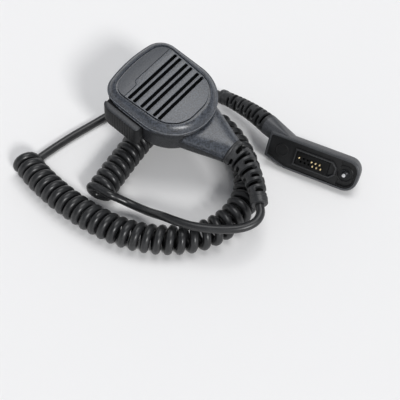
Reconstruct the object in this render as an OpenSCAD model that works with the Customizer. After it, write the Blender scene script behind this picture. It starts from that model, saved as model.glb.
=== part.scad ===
// Speaker microphone with a push-to-talk bar, a back clip, a curly cord and a side-mount plug.
// It lies face up across its own cord. All lengths are in millimetres.
// Microphone axes: X across the face, Y towards the head's top, Z out of the front panel, which is Z = 0.
// Plug axes: X along the contact face towards the screw, Y across it, Z out of it.

/* [Lie] */
// Height of the grille's middle above the floor
face_h = 53; // [53:0.5:60]
// Tilt of the face, head end up, in degrees
mic_pitch = 11.8; // [9:0.2:14]
// Lean of the face towards the push-to-talk side, in degrees
mic_roll = 6; // [3:0.5:8]

/* [Head] */
// Width of the flat front panel near its top
panel_wide = 43; // [40:0.5:46]
// Width of the front panel at its lower shoulders
panel_narrow = 40.4; // [38:0.2:43]
// Height of the panel's top edge over the grille's middle
panel_top = 23; // [22.5:0.5:24]
// Depth of the panel's bottom edge under the grille's middle
panel_low = 24; // [23:0.5:25]
// Radius of the panel's top corners
panel_top_r = 8; // [7:0.5:9]
// Radius of the panel's lower corners
panel_low_r = 16.5; // [14:0.5:17]
// Width of the head at its rim
rim_wide = 52.8; // [52:0.2:56]
// Height of the rim's top edge over the grille's middle
rim_top = 28.6; // [28:0.2:31]
// Depth of the rim's bottom edge under the grille's middle
rim_low = 31; // [30:0.5:32]
// Radius of the rim's top corners
rim_top_r = 12; // [10:0.5:13]
// Radius of the rim's lower corners
rim_low_r = 26.2; // [24:0.2:26.4]
// Bow of the head's top edge, in degrees at each corner
top_bow = 11; // [6:1:14]
// Depth from the panel to the back of the case
case_depth = 26; // [25:0.5:29]

/* [Shells] */
// Depth of the domed front from the panel to the rim
dome_h = 4.2; // [3.8:0.1:4.8]
// Height of the straight rim under the dome
rim_h = 1.4; // [1:0.1:2]
// Thickness of the front panel
panel_t = 2; // [1.6:0.1:2.2]
// Wall of the front and rear shells
wall = 2; // [1.6:0.1:2.2]
// Thickness of the gasket between the shells
gasket_t = 0.6; // [0.4:0.1:1]
// Width of the groove round the panel
groove_w = 0.9; // [0.6:0.1:1.2]
// Depth of the groove round the panel
groove_d = 0.7; // [0.4:0.1:1]
// Lower edge of the bare name plate over the grille's middle
plate_edge = 16.3; // [15:0.1:18]
// Thickness of the name plate
plate_t = 0.6; // [0.4:0.1:0.8]

/* [Grille] */
// Width of a grille slot
slot_w = 1.5; // [0.8:0.1:1.6]
// Distance between the two slots of a pair
slot_gap = 3.6; // [3:0.1:4]
// Distance between the pairs of slots
pair_gap = 8.9; // [8:0.1:9.4]
// Land between a slot's end and the panel's edge
slot_land = 0.6; // [0.4:0.1:2]
// Thickness of the dust screen behind the slots
screen_t = 0.3; // [0.2:0.05:0.5]

/* [Neck] */
// Distance from the grille's middle to the end of the neck
neck_end = 50; // [48:0.5:54]
// Radius of the neck at its end
neck_r = 8; // [7.4:0.1:8.4]
// Depth of the neck's axis under the panel
neck_depth = 14.5; // [14:0.1:15.5]
// Thickness of the neck's end wall
neck_wall = 3; // [2:0.5:4]

/* [Push to talk] */
// Length of the push-to-talk bar
ptt_length = 27; // [23:0.5:27.5]
// Middle of the bar over the grille's middle
ptt_middle = 9; // [8:0.5:9.5]
// How far the bar stands out from the rim
ptt_proud = 4.8; // [4:0.1:5]
// Height of the bar's outer cap
ptt_height = 16; // [14:0.5:16.5]
// Stroke of the bar
ptt_stroke = 1.2; // [0.8:0.1:1.4]

/* [Speaker] */
// Radius of the loudspeaker's frame
speaker_r = 16; // [14:0.5:16]
// Depth of the loudspeaker's basket
basket_h = 5.5; // [4:0.5:5.5]
// Radius of the loudspeaker's magnet
magnet_r = 8.5; // [7:0.5:9]
// Height of the loudspeaker's magnet
magnet_h = 3.9; // [3:0.1:4]
// Radius of the microphone capsule
capsule_r = 2.3; // [2:0.1:2.3]
// Height of the microphone capsule
capsule_h = 2.4; // [1.8:0.1:2.8]

/* [Board] */
// Thickness of the circuit board
board_t = 1.5; // [1:0.1:1.6]
// Depth of the board's front face under the panel
board_depth = 15.4; // [15.2:0.1:16]
// Radius of the case screws' thread
screw_r = 1.2; // [1:0.1:1.25]
// Radius of the case screws' heads
screw_head_r = 2.2; // [1.9:0.1:2.4]
// Radius of the posts that the screws join
post_r = 3; // [2.6:0.1:3.2]

/* [Clip] */
// Distance of the clip's swivel under the grille's middle
clip_down = 2; // [1:0.5:3]
// Distance from the grille's middle to the jaw's tip
clip_tip = 19; // [17:0.5:19]
// Distance from the grille's middle to the end of the thumb tab
clip_tab = 11; // [9:0.5:12]
// Width of the clip's jaw
clip_w = 10; // [8:0.5:11]
// Thickness of the clip's plates
clip_t = 1.5; // [1.2:0.1:1.8]
// Height of the throat between the clip's plates
clip_throat = 6.6; // [6.4:0.1:6.7]
// Radius of the clip's hinge pin
clip_pin_r = 1.25; // [1:0.05:1.4]
// Number of curls in the clip's spring
clip_spring_curls = 4; // [3:1:5]

/* [Cord] */
// Diameter of the cord
cord_d = 5; // [4:0.1:5.2]
// Radius of a curl, measured to the middle of the cord
curl_r = 6.2; // [5.6:0.1:6.4]
// Space between neighbouring curls on the inside of a bend
curl_gap = 0.6; // [0.5:0.05:1]

/* [Boots] */
// Number of ribs on the microphone's strain relief
mic_boot_ribs = 7; // [5:1:9]
// Number of ribs on the plug's strain relief
plug_boot_ribs = 8; // [6:1:10]
// Radius of a strain relief at its cord end
boot_tip_r = 4.4; // [3.6:0.1:5]
// Depth of the grooves between ribs
boot_groove = 0.9; // [0.5:0.1:1.2]

/* [Plug] */
// Length of the plug's contact face
plug_l = 59; // [58:0.5:62]
// Width of the plug's contact face
plug_w = 20.4; // [20:0.2:22]
// Depth of the plug behind its contact face
plug_d = 12.2; // [12.2:0.1:13.4]
// Radius of the corners at the plug's screw end
plug_end_r = 8; // [6:0.5:10]
// Radius of the plug's neck where its strain relief starts
plug_neck_r = 6.4; // [5.8:0.1:6.8]
// Thickness of the plug's face wall
plug_wall = 3; // [2.5:0.1:3.2]
// Radius of the bare round boss near the cord end
boss_r = 4; // [3:0.5:5]

/* [Contacts] */
// Length of the contact block
block_l = 20.5; // [19:0.5:21]
// Width of the contact block
block_w = 8.2; // [7.6:0.2:9]
// How far the contact block stands out of the face
block_proud = 1; // [0.6:0.1:1.4]
// Radius of a contact pin
pin_r = 0.65; // [0.5:0.05:0.8]
// How far a contact pin stands out of its block
pin_proud = 1.2; // [0.9:0.1:1.5]
// Stroke of the contact pins
pin_stroke = 0.8; // [0.5:0.1:0.85]
// Distance between neighbouring pins of a row
pin_pitch = 2.6; // [2.4:0.05:2.7]
// Distance between the two rows of pins
row_pitch = 2.4; // [2:0.1:2.8]

/* [Thumb screw] */
// Radius of the screw's thread
thread_r = 1.5; // [1.25:0.25:1.5]
// Length of the plain thread end
thread_l = 2.8; // [2.4:0.2:3.4]
// Radius of the shank in its bore
shank_r = 1.8; // [1.6:0.1:2]
// Radius of the screw's knob
knob_r = 5; // [4.5:0.1:5.4]
// Height of the screw's knob
knob_h = 4.2; // [3.6:0.1:4.4]
// Axial play of the captive screw
screw_play = 0.9; // [0.5:0.1:0.9]

/* [Fits] */
// Radial clearance of a running fit
run_fit = 0.06; // [0.03:0.01:0.08]
// Clearance between parts that pass each other
pass_gap = 0.4; // [0.3:0.05:0.5]
// Clearance between a part and the seat it drops into
seat_gap = 0.1; // [0.05:0.05:0.2]

/* [Hidden] */
$fn = 48;

// A cut runs this far past the face that it opens
over = 0.5;
// Thickness of the slices that a blended shape is stretched over
slice = 0.2;

// Depths in the microphone's frame
front_low = -dome_h - rim_h;
rear_high = front_low - gasket_t;
back = -case_depth;
back_wall = 2;
board_front = -board_depth;
board_back = board_front - board_t;

// Rows of the grille, two slots in each of three pairs
slot_rows = [for (pair = [1, 0, -1], side = [1, -1]) pair * pair_gap + side * slot_gap / 2];

// Places of the four case screws
post_top = [14.6, 19.5];
post_low = [9.5, -17];
post_places = [for (side = [1, -1], post = [post_top, post_low]) [side * post[0], post[1]]];
screw_head_h = 1.8;
head_depth = 2.2;
screw_bite = 9.4;

// Push-to-talk bar and its switch
ptt_face = -rim_wide / 2 - ptt_proud;
ptt_flange_face = -rim_wide / 2 + 2.7;
ptt_flange_t = 1.2;
ptt_flange_drop = 1.8;
ptt_post_l = 0.8;
ptt_post_r = 2.5;
ptt_cap_t = 2.8;
ptt_corner = 2.5;
ptt_high = rear_high - 0.5;
window_low = ptt_high - ptt_height + 1.5;
ptt_low = window_low + pass_gap;
switch_size = [5.5, 6, 5.5];
plunger_r = 1.7;
plunger_l = 4.8;
plunger_gap = 0.2;
plunger_tip = ptt_flange_face + ptt_flange_t + ptt_post_l + plunger_gap;
switch_face = plunger_tip + 1.9;
switch_axis = board_front + switch_size[2] / 2;

// Loudspeaker and capsule, counted back from the panel
panel_back = -panel_t;
felt_t = 0.5;
felt_w = 3;
flange_t = 1.4;
felt_back = panel_back - screen_t - felt_t;
flange_back = felt_back - flange_t;
basket_back = flange_back - basket_h;
basket_wall = 0.8;
basket_lip = 0.4;
cone_edge = 0.4;
plate_h = 0.8;
capsule_at = [14.6, -12.6];
capsule_boot_wall = 0.6;
capsule_lip = 0.6;

// Neck, cable tail and connector
neck_z = -neck_depth;
stub_r = 4.4;
stub_flange_r = 5.8;
stub_flange_t = 1.5;
tail_start = -neck_end + neck_wall + seat_gap + stub_flange_t;
board_edge = -panel_low + 0.4;
connector_size = [8, 5, 3.9];

// Clip, counted back from the case
clip_boss_r = 10;
clip_boss_h = 0.8;
clip_gap = 0.2;
clip_top = back - clip_boss_h - clip_gap;
clip_under = clip_top - clip_t;
lever_top = clip_under - clip_throat;
lever_under = lever_top - clip_t;
ear_gap = 0.3;
ear_t = 1.5;
clip_half = clip_w / 2 + ear_gap + ear_t;
hinge_y = 4.2;
hub_r = 2.4;
hinge_z = lever_top + hub_r + 0.6;
jaw_l = 2.5;
jaw_gap = 0.3;
tooth_step = 1.2;
swivel_r = 2;
swivel_head_r = 3.4;
swivel_head_h = 1;
swivel_grip = 4.3;
spring_wire = 0.8;
spring_l = 5;
hub_gap = spring_l / 2 + ear_gap;

// Cord route on the floor, in the frame of the floor under the grille's middle.
// A run of the curly part is its length and the angle that it turns through.
cord_r = cord_d / 2;
floor_flat = cord_d / 10;
curl_h = curl_r + cord_r - floor_flat;
curl_start = [-59, 5];
curl_heading = 13;
curl_runs = [[57, -5], [52, -109], [43, -34], [66, -89], [44, -36], [75, -26]];
rings_per_curl = 8;
curl_sides = 6;
lead_sides = 8;
boot_sides = 16;

// Plug pose on the floor
plug_at = [32.7, -65.9, 12.4];
plug_yaw = -78.5;
plug_lean = 62;

// Plug features along its face, from the low corner of its cord end
plug_left = -14;
plug_right = plug_left + plug_l;
plug_low_cut = [14, 4];
neck_at = [-17.5, 10.2, -7.8];
block_at = 16.2;
first_pin = 8;
row_shift = 1.2;
pins_in_row = 6;
live_pins = [[0, 0], [3, 0], [4, 0], [5, 0], [3, 1], [4, 1], [5, 1]];
screw_at = 36.3;
boss_at = [-4, 0.8];
boss_h = 0.4;
shoulder_l = 16;
shank_l = 6.1;
recess_r = 4.6;
recess_d = 2.5;
knob_gap = 0.6;
knob_bed = -6.5;
knob_top = knob_bed - screw_play - 0.2;
ring_t = 0.6;
ring_r = 2.8;
gasket_band = 1.6;
gasket_proud = 0.9;
gasket_cut = 3;
gasket_reach = 3.2;
gasket_room = 1.4;
cavity_l = 25;
cavity_w = 10;
cavity_back = 1.8 - plug_d;
lid_rim = 0.8;
lid_t = 1.2;
block_flange = 0.7;
block_flange_t = 1.5;
plug_board_t = 1.2;
pin_back = -4;
hole_r = pin_r + run_fit;

// Plain vector work
function blend(a, b, t) = a + (b - a) * t;
function unit(v) = v / norm(v);
function turn_x(p, a) = [p[0], p[1] * cos(a) - p[2] * sin(a), p[1] * sin(a) + p[2] * cos(a)];
function turn_y(p, a) = [p[0] * cos(a) + p[2] * sin(a), p[1], p[2] * cos(a) - p[0] * sin(a)];
function turn_z(p, a) = [p[0] * cos(a) - p[1] * sin(a), p[0] * sin(a) + p[1] * cos(a), p[2]];
function arc(at, r, from, to, steps) =
    [for (i = [0:steps]) at + r * [cos(blend(from, to, i / steps)), sin(blend(from, to, i / steps))]];

// From the microphone's and the plug's frames to the floor frame
function mic_point(p) = turn_x(turn_y(p, -mic_roll), mic_pitch) + [0, 0, face_h];
function plug_point(p) = turn_z(turn_x(p, plug_lean), plug_yaw) + plug_at;

// The part's origin is in the clip's jaw, on the plate that stays with the case
origin = mic_point([0, jaw_l / 2 - clip_tip, clip_under]);

module part_frame() {
    translate(-origin) children();
}

module mic_frame() {
    part_frame() translate([0, 0, face_h]) rotate([mic_pitch, 0, 0]) rotate([0, -mic_roll, 0]) children();
}

module plug_frame() {
    part_frame() translate(plug_at) rotate([0, 0, plug_yaw]) rotate([plug_lean, 0, 0]) children();
}

module along(at, heading) {
    h = unit(heading);
    translate(at) rotate([0, acos(h[2]), atan2(h[1], h[0])]) children();
}

// Outline of the head: t goes from the panel, 0, to the rim, 1
function shield(t, inset = 0) =
    let (
        top_r = blend(panel_top_r, rim_top_r, t),
        wide = blend(panel_narrow, rim_wide, t) / 2,
        low_r = min(blend(panel_low_r, rim_low_r, t), wide),
        top_at = [blend(panel_wide, rim_wide, t) / 2 - top_r, blend(panel_top, rim_top, t) - top_r],
        low_at = [wide - low_r, low_r - blend(panel_low, rim_low, t)],
        span = top_at - low_at,
        side = atan2(span[1], span[0]) - acos((low_r - top_r) / norm(span)),
        bow_r = top_at[0] / sin(top_bow) + top_r,
        bow_at = [0, top_at[1] - top_at[0] / tan(top_bow)],
        right = concat(
            arc(low_at, low_r - inset, -90, side, 14),
            arc(top_at, top_r - inset, side, 90 - top_bow, 8),
            arc(bow_at, bow_r - inset, 90 - 0.75 * top_bow, 90 - 0.25 * top_bow, 2))
    )
    concat(right, [for (i = [len(right) - 1:-1:0]) [-right[i][0], right[i][1]]]);

// A convex shape stretched over outlines, each given as depth, place from panel to rim, and inset
module stretched(layers) {
    hull()
        for (layer = layers)
            translate([0, 0, layer[0]]) linear_extrude(slice) polygon(shield(layer[1], layer[2]));
}

module plate(from, to, points) {
    translate([0, 0, from]) linear_extrude(to - from) polygon(points);
}

module drill(at, r, from, to) {
    translate([at[0], at[1], from]) cylinder(r = r, h = to - from);
}

// A block between two corners
module block(low, high) {
    translate(low) cube(high - low);
}

// Half the width of the panel at a height y
function panel_half(y) =
    let (flank = panel_low - panel_low_r)
    blend(panel_narrow, panel_wide, (y + flank) / (flank + panel_top - panel_top_r)) / 2;

// Front shell, name plate and dust screen
module dome() {
    stretched([[-slice, 0, -groove_w - 0.3], [-0.15 * dome_h, 0.5, 0], [-0.4 * dome_h, 0.8, 0],
        [-0.7 * dome_h, 0.95, 0], [-dome_h, 1, 0], [front_low, 1, 0]]);
}

module dome_hollow() {
    stretched([[panel_back - slice, 0, 1], [-dome_h, 0.85, wall], [front_low - over, 1, wall]]);
}

module plate_area(inset) {
    intersection() {
        polygon(shield(0, inset));
        translate([-panel_wide, plate_edge + inset - 0.4]) square([2 * panel_wide, panel_top]);
    }
}

module front_shell() {
    color("#2b2d31") mic_frame() difference() {
        union() {
            difference() {
                dome();
                dome_hollow();
            }
            for (at = post_places)
                drill(at, post_r, board_front, panel_back + over);
        }
        translate([0, 0, -groove_d]) linear_extrude(groove_d + over) difference() {
            polygon(shield(0, -groove_w));
            polygon(shield(0));
        }
        translate([0, 0, -plate_t]) linear_extrude(plate_t + over) plate_area(0.4);
        for (y = slot_rows) {
            half = panel_half(y) - slot_land;
            block([-half, y - slot_w / 2, panel_back - over], [half, y + slot_w / 2, over]);
        }
        for (at = post_places)
            drill(at, screw_r + run_fit, board_front - over, board_front + screw_bite + over);
    }
}

module name_plate() {
    color("#33363b") mic_frame() translate([0, 0, -plate_t]) linear_extrude(plate_t)
        plate_area(0.4 + seat_gap);
}

module dust_screen() {
    screen_half = pair_gap + slot_gap / 2 + slot_w;
    color("#17181a") mic_frame() difference() {
        intersection() {
            plate(panel_back - screen_t, panel_back, shield(0, 1.6));
            block([-panel_wide, -screen_half, -case_depth], [panel_wide, screen_half, 0]);
        }
        drill(capsule_at, capsule_r + capsule_boot_wall + seat_gap + 0.2, -case_depth, 0);
    }
}

module shell_gasket() {
    color("#0e0f10") mic_frame() difference() {
        plate(rear_high, front_low, shield(1, 0.7));
        plate(rear_high - over, front_low + over, shield(1, wall - 0.3));
        ptt_way();
    }
}

// Rear shell with its neck
neck_root_r = 3;
neck_root = [rim_wide / 2 - 11.9, 8 - rim_low];
neck_drop = 1.6;
neck_shell = 1.6;

module neck_form(inset, end, high) {
    hull() {
        for (side = [-1, 1])
            translate([side * neck_root[0], neck_root[1], back + 3 + inset])
                cylinder(r = neck_root_r - inset, h = high - back - 3 - inset);
        translate([0, end, neck_z]) rotate([90, 0, 0]) cylinder(r = neck_r - inset, h = slice);
    }
}

module rear_form() {
    stretched([[rear_high - slice, 1, 0.5], [back + 6, 1, 1.2], [back + 2, 1, 2.6], [back, 1, 6]]);
}

module rear_hollow() {
    stretched([[rear_high + over, 1, 0.5 + wall], [back + 6, 1, 1.2 + wall],
        [back + back_wall, 1, 3 + wall]]);
}

// Room in the side wall for the push-to-talk bar, open at the shell's edge
module ptt_way() {
    low = ptt_middle - ptt_length / 2;
    high = ptt_middle + ptt_length / 2;
    block([ptt_face - over, low - pass_gap, window_low],
        [ptt_flange_face + over + ptt_stroke + pass_gap, high + pass_gap, 0]);
    block([ptt_flange_face - pass_gap, low - pass_gap, ptt_low - ptt_flange_drop - pass_gap],
        [ptt_flange_face + 5, high - 0.5, 0]);
}

module rear_shell() {
    color("#26282b") mic_frame() difference() {
        union() {
            difference() {
                union() {
                    rear_form();
                    neck_form(0, -neck_end + slice, rear_high - neck_drop);
                }
                rear_hollow();
                neck_form(neck_shell, -neck_end + neck_wall + slice, rear_high - neck_drop - neck_shell);
                ptt_way();
            }
            for (at = post_places)
                drill(at, post_r, back + back_wall - over, board_back);
            drill([0, -clip_down], clip_boss_r, back - clip_boss_h, back + over);
            drill([0, -clip_down], swivel_r + wall, back + back_wall - over, back + swivel_grip + over);
        }
        for (at = post_places) {
            drill(at, screw_r + run_fit, back - over, board_back + over);
            drill(at, screw_head_r + 0.3, back - over, back + head_depth);
        }
        drill([0, -clip_down], swivel_r + run_fit, back - clip_boss_h - over, back + swivel_grip);
        translate([0, -neck_end + neck_wall + over, neck_z]) rotate([90, 0, 0])
            cylinder(r = stub_r + seat_gap, h = neck_wall + 2 * over);
    }
}

module case_screws() {
    color("#8d9094") mic_frame() for (at = post_places) difference() {
        union() {
            drill(at, screw_head_r, back + head_depth - screw_head_h, back + head_depth);
            drill(at, screw_r, back + head_depth - over, board_front + screw_bite);
        }
        translate([at[0] - screw_head_r, at[1] - 0.3, back + head_depth - screw_head_h - over])
            cube([2 * screw_head_r, 0.6, over + 0.8]);
    }
}

// Push-to-talk bar and switch
function bar_outline(inner) =
    let (
        low = ptt_middle - ptt_length / 2,
        high = ptt_middle + ptt_length / 2,
        x = ptt_face + ptt_corner
    )
    concat([[inner, low], [inner, high]],
        arc([x, high - ptt_corner], ptt_corner, 90, 180, 6),
        arc([x, low + ptt_corner], ptt_corner, 180, 270, 6));

module ptt_button() {
    low = ptt_middle - ptt_length / 2;
    color("#303338") mic_frame() union() {
        plate(ptt_low, ptt_high, bar_outline(ptt_flange_face + over));
        plate(ptt_high - ptt_height, ptt_high, bar_outline(ptt_face + ptt_cap_t));
        block([ptt_flange_face, low, ptt_low - ptt_flange_drop],
            [ptt_flange_face + ptt_flange_t, low + ptt_length - 1.2, ptt_high - 0.6]);
        translate([ptt_flange_face + over, ptt_middle, switch_axis]) rotate([0, 90, 0])
            cylinder(r = ptt_post_r, h = ptt_flange_t + ptt_post_l - over);
    }
}

module switch_body() {
    color("#1b1c1e") mic_frame() difference() {
        block([switch_face, ptt_middle - switch_size[1] / 2, board_front],
            [switch_face + switch_size[0], ptt_middle + switch_size[1] / 2, board_front + switch_size[2]]);
        translate([switch_face - over, ptt_middle, switch_axis]) rotate([0, 90, 0])
            cylinder(r = plunger_r + run_fit, h = plunger_l - 1.9 + ptt_stroke + 0.3 + over);
    }
}

module switch_plunger() {
    color("#d8d4c4") mic_frame() translate([plunger_tip, ptt_middle, switch_axis]) rotate([0, 90, 0])
        cylinder(r = plunger_r, h = plunger_l);
}

// Loudspeaker and microphone capsule
module ring(outer, inner, from, to) {
    difference() {
        drill([0, 0], outer, from, to);
        drill([0, 0], inner, from - over, to + over);
    }
}

module speaker_felt() {
    color("#101112") mic_frame() ring(speaker_r, speaker_r - felt_w, felt_back, panel_back - screen_t);
}

module speaker_frame() {
    mouth_r = speaker_r - basket_lip;
    color("#9a9da1") mic_frame() {
        ring(speaker_r, speaker_r - felt_w, flange_back, felt_back);
        difference() {
            translate([0, 0, basket_back])
                cylinder(r1 = magnet_r + basket_lip, r2 = mouth_r, h = basket_h);
            translate([0, 0, basket_back + plate_h])
                cylinder(r1 = magnet_r - basket_lip, r2 = mouth_r - basket_wall,
                    h = basket_h - plate_h + 0.01);
        }
    }
}

module speaker_cone() {
    surround = speaker_r - basket_lip - basket_wall - 0.5;
    depth = basket_h - plate_h - 1.2;
    color("#2a2a2a") mic_frame() {
        ring(surround, surround - 2, flange_back - cone_edge, flange_back);
        difference() {
            translate([0, 0, flange_back - cone_edge - depth])
                cylinder(r1 = 4, r2 = surround - 1.6, h = depth + cone_edge);
            translate([0, 0, flange_back - depth]) cylinder(r1 = 3.6, r2 = surround - 2, h = depth + 0.01);
        }
    }
}

module speaker_magnet() {
    color("#55585c") mic_frame() drill([0, 0], magnet_r, basket_back - magnet_h, basket_back);
}

module mic_capsule() {
    color("#c3c5c8") mic_frame()
        drill(capsule_at, capsule_r, panel_back - capsule_lip - capsule_h, panel_back - capsule_lip);
}

module capsule_boot() {
    color("#141414") mic_frame() difference() {
        drill(capsule_at, capsule_r + capsule_boot_wall, panel_back - 2 * capsule_lip - capsule_h,
            panel_back);
        drill(capsule_at, capsule_r + run_fit, panel_back - capsule_lip - capsule_h, panel_back + over);
    }
}

// Circuit board, connector and cable tail
module circuit_board() {
    color("#1f5a3a") mic_frame() difference() {
        plate(board_back, board_front, shield(0, 0.4));
        for (at = post_places)
            drill(at, screw_r + 0.2, board_back - over, board_front + over);
    }
}

module board_connector() {
    color("#d9d3c0") mic_frame()
        block([-connector_size[0] / 2, board_edge, board_front],
            [connector_size[0] / 2, board_edge + connector_size[1], board_front + connector_size[2]]);
}

module cable_tail() {
    color("#1a1b1d") mic_frame() translate([0, board_edge, neck_z]) rotate([90, 0, 0])
        cylinder(r = cord_r, h = board_edge - tail_start);
}

// Smooth curve through a list of points: t counts the points
function curve_terms(p, t) =
    let (
        last = len(p) - 1,
        i = min(floor(t), last - 1),
        a = p[i],
        b = p[i + 1],
        before = i > 0 ? p[i - 1] : 2 * a - b,
        after = i < last - 1 ? p[i + 2] : 2 * b - a
    )
    [t - i, a, b - before, 2 * before - 5 * a + 4 * b - after, 3 * a - before - 3 * b + after];
function curve_point(p, t) =
    let (k = curve_terms(p, t), f = k[0])
    k[1] + (k[2] * f + k[3] * f * f + k[4] * f * f * f) / 2;
function curve_heading(p, t) =
    let (k = curve_terms(p, t), f = k[0])
    unit(k[2] + 2 * k[3] * f + 3 * k[4] * f * f);

// Ring of points round a heading, pressed flat where it would go under the floor
function on_floor(p) = [p[0], p[1], max(p[2], 0)];
function ring_points(at, heading, r, sides, first) =
    let (second = cross(heading, first))
    [for (k = [0:sides - 1])
        on_floor(at + r * (cos(360 * k / sides) * first + sin(360 * k / sides) * second))];
function level_ring(at, heading, r, sides) =
    ring_points(at, heading, r, sides, unit(cross([0, 0, 1], heading)));

// A closed tube over a list of rings
module tube(rings) {
    sides = len(rings[0]);
    last = len(rings) - 1;
    walls = [for (i = [0:last - 1], k = [0:sides - 1])
        let (n = (k + 1) % sides, a = i * sides, b = a + sides)
        each [[a + k, b + n, a + n], [a + k, b + k, b + n]]];
    caps = [for (k = [1:sides - 2])
        let (b = last * sides)
        each [[0, k, k + 1], [b, b + k + 1, b + k]]];
    polyhedron(points = [for (r = rings) each r], faces = concat(walls, caps), convexity = 10);
}

module lead(points, steps) {
    count = (len(points) - 1) * steps;
    tube([for (i = [0:count])
        level_ring(curve_point(points, i / steps), curve_heading(points, i / steps), cord_r, lead_sides)]);
}

// A tapering strain relief: each rib is a band and the groove after it
rib_steps = [[0, 0], [0.5, 0], [0.6, 1], [0.9, 1]];
module ribbed(points, ribs, from_r, to_r) {
    last = len(points) - 1;
    steps = [for (i = [0:ribs - 1], step = rib_steps) [(i + step[0]) / ribs, step[1]]];
    tube([for (step = concat(steps, [[1, 0]]))
        level_ring(curve_point(points, step[0] * last), curve_heading(points, step[0] * last),
            blend(from_r, to_r, step[0]) - step[1] * boot_groove, boot_sides)]);
}

// Curly cord: the middle line is a chain of arcs, and the pitch opens in bends
function run_point(at, heading, run, d) =
    let (r = run[0] / run[1] * 180 / PI, turned = heading + run[1] * d / run[0])
    at + r * [sin(turned) - sin(heading), cos(heading) - cos(turned)];
function run_pitch(run) =
    let (r = abs(run[0] / run[1] * 180 / PI))
    (cord_d + curl_gap) * r / (r - curl_r);
// Each run's start, heading, first curl and pitch
function run_starts(i = 0, at = curl_start, heading = curl_heading, curls = 0) =
    i == len(curl_runs) ? [[at, heading, curls, 1]] :
    let (run = curl_runs[i], pitch = run_pitch(run))
    concat([[at, heading, curls, pitch]],
        run_starts(i + 1, run_point(at, heading, run, run[0]), heading + run[1], curls + run[0] / pitch));
runs = run_starts();
spare_curls = runs[len(curl_runs)][2];
// The cord comes in over the top and leaves along the floor, so the last curl is a half
curl_count = floor(spare_curls - 0.5) + 0.5;
function run_at(curl) = max([for (i = [0:len(curl_runs) - 1]) if (i == 0 || runs[i][2] <= curl) i]);
function curl_spoke(curl) =
    let (
        c = curl * spare_curls / curl_count,
        i = run_at(c),
        d = (c - runs[i][2]) * runs[i][3],
        heading = runs[i][1] + curl_runs[i][1] * d / curl_runs[i][0],
        turn = 90 - 360 * curl
    )
    [run_point(runs[i][0], runs[i][1], curl_runs[i], d),
        [-sin(heading) * cos(turn), cos(heading) * cos(turn), sin(turn)]];
function curl_point(curl) =
    let (spoke = curl_spoke(curl))
    [spoke[0][0], spoke[0][1], curl_h] + curl_r * spoke[1];
function curl_heading_at(curl) = unit(curl_point(curl + 0.01) - curl_point(curl - 0.01));
function curl_ring(curl, ahead = 0) =
    let (
        heading = curl_heading_at(curl),
        spoke = curl_spoke(curl)[1],
        first = unit(spoke - heading * (spoke * heading))
    )
    ring_points(curl_point(curl) + heading * ahead, heading, cord_r, curl_sides, first);
curl_steps = curl_count * rings_per_curl;
curl_line = [for (i = [0:curl_steps]) curl_point(i / rings_per_curl)];
curl_in = curl_point(0) - cord_d * curl_heading_at(0);
curl_out = curl_point(curl_count) + cord_d * curl_heading_at(curl_count);

// Least gap of the curly cord to itself, over neighbouring curls
half_curl = rings_per_curl / 2 + 1;
least_gap = min([for (i = [0:curl_steps - half_curl],
    j = [i + half_curl:min(i + 2 * rings_per_curl, curl_steps)])
    norm(curl_line[i] - curl_line[j])]) - cord_d;
echo(curls = curl_count, least_gap_of_cord_to_itself = least_gap);  // cord_curls

// Points of the strain reliefs and leads, from the microphone to the curls and on to the plug
neck_lead = 8;
mic_boot_line = [mic_point([0, -neck_end, neck_z]), mic_point([0, -neck_end - neck_lead, neck_z]),
    [-2.2, -62.4, 25.8], [-8, -71, 24.8], [-16.2, -79.4, 23.6]];
mic_lead_line = [mic_boot_line[4], [-20.8, -83.2, 23], [-27, -83.6, 22], [-34.4, -79.2, 21.2],
    [-42.4, -69.6, 20.8], [-49, -58, 20.8], [-51.8, -48, 20], [-52.2, -39, 17], [-51.8, -30, 12],
    [-51.6, -21.5, 8.5], [-53, -14, 8.5], [-55.6, -8.6, 11.4], [-58.2, -4.5, 14.3], curl_in];
plug_lead_line = [curl_out, [-57, 56.4, 2.5], [-47, 55.4, 2.5], [-33, 53.4, 2.5], [-17, 50.2, 2.5],
    [0, 46.8, 2.5], [15, 42.8, 2.5], [28, 37.4, 2.5], [38, 30.2, 2.5], [45, 21, 2.8], [48.8, 11, 5.2],
    [49.6, 2.8, 8], [48.6, -3.6, 9.8]];
plug_boot_line = [plug_point(neck_at), [43.2, -36, 16.8], [45.4, -25.5, 15], [47.2, -14.6, 12.6],
    plug_lead_line[12]];

module mic_boot() {
    color("#222427") {
        part_frame() ribbed(mic_boot_line, mic_boot_ribs, neck_r, boot_tip_r);
        mic_frame() translate([0, -neck_end - over, neck_z]) rotate([-90, 0, 0]) {
            cylinder(r = stub_r, h = neck_wall + over + seat_gap + stub_flange_t);
            translate([0, 0, over + neck_wall + seat_gap]) cylinder(r = stub_flange_r, h = stub_flange_t);
        }
    }
}

module mic_lead() {
    color("#1b1d20") part_frame() lead(mic_lead_line, 2);
}

module cord_curls() {
    rings = [for (i = [0:curl_steps]) curl_ring(i / rings_per_curl)];
    color("#1b1d20") part_frame()
        tube(concat([curl_ring(0, -cord_d)], rings, [curl_ring(curl_count, cord_d)]));
}

module plug_lead() {
    color("#1b1d20") part_frame() lead(plug_lead_line, 2);
}

module plug_boot() {
    color("#222427") part_frame() ribbed(plug_boot_line, plug_boot_ribs, plug_neck_r, boot_tip_r);
}

// Plug
function plug_outline(inset) =
    let (
        half = plug_w / 2 - inset,
        r = plug_end_r - inset,
        x = plug_right - plug_end_r,
        y = plug_w / 2 - plug_end_r
    )
    concat(arc([x, -y], r, -90, 0, 8), arc([x, y], r, 0, 90, 8),
        [[plug_left + inset, half], [plug_left + inset, plug_low_cut[1] - half],
        [plug_left + plug_low_cut[0], -half]]);

module plug_slice(z, inset) {
    translate([0, 0, z]) linear_extrude(slice) polygon(plug_outline(inset));
}

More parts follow.
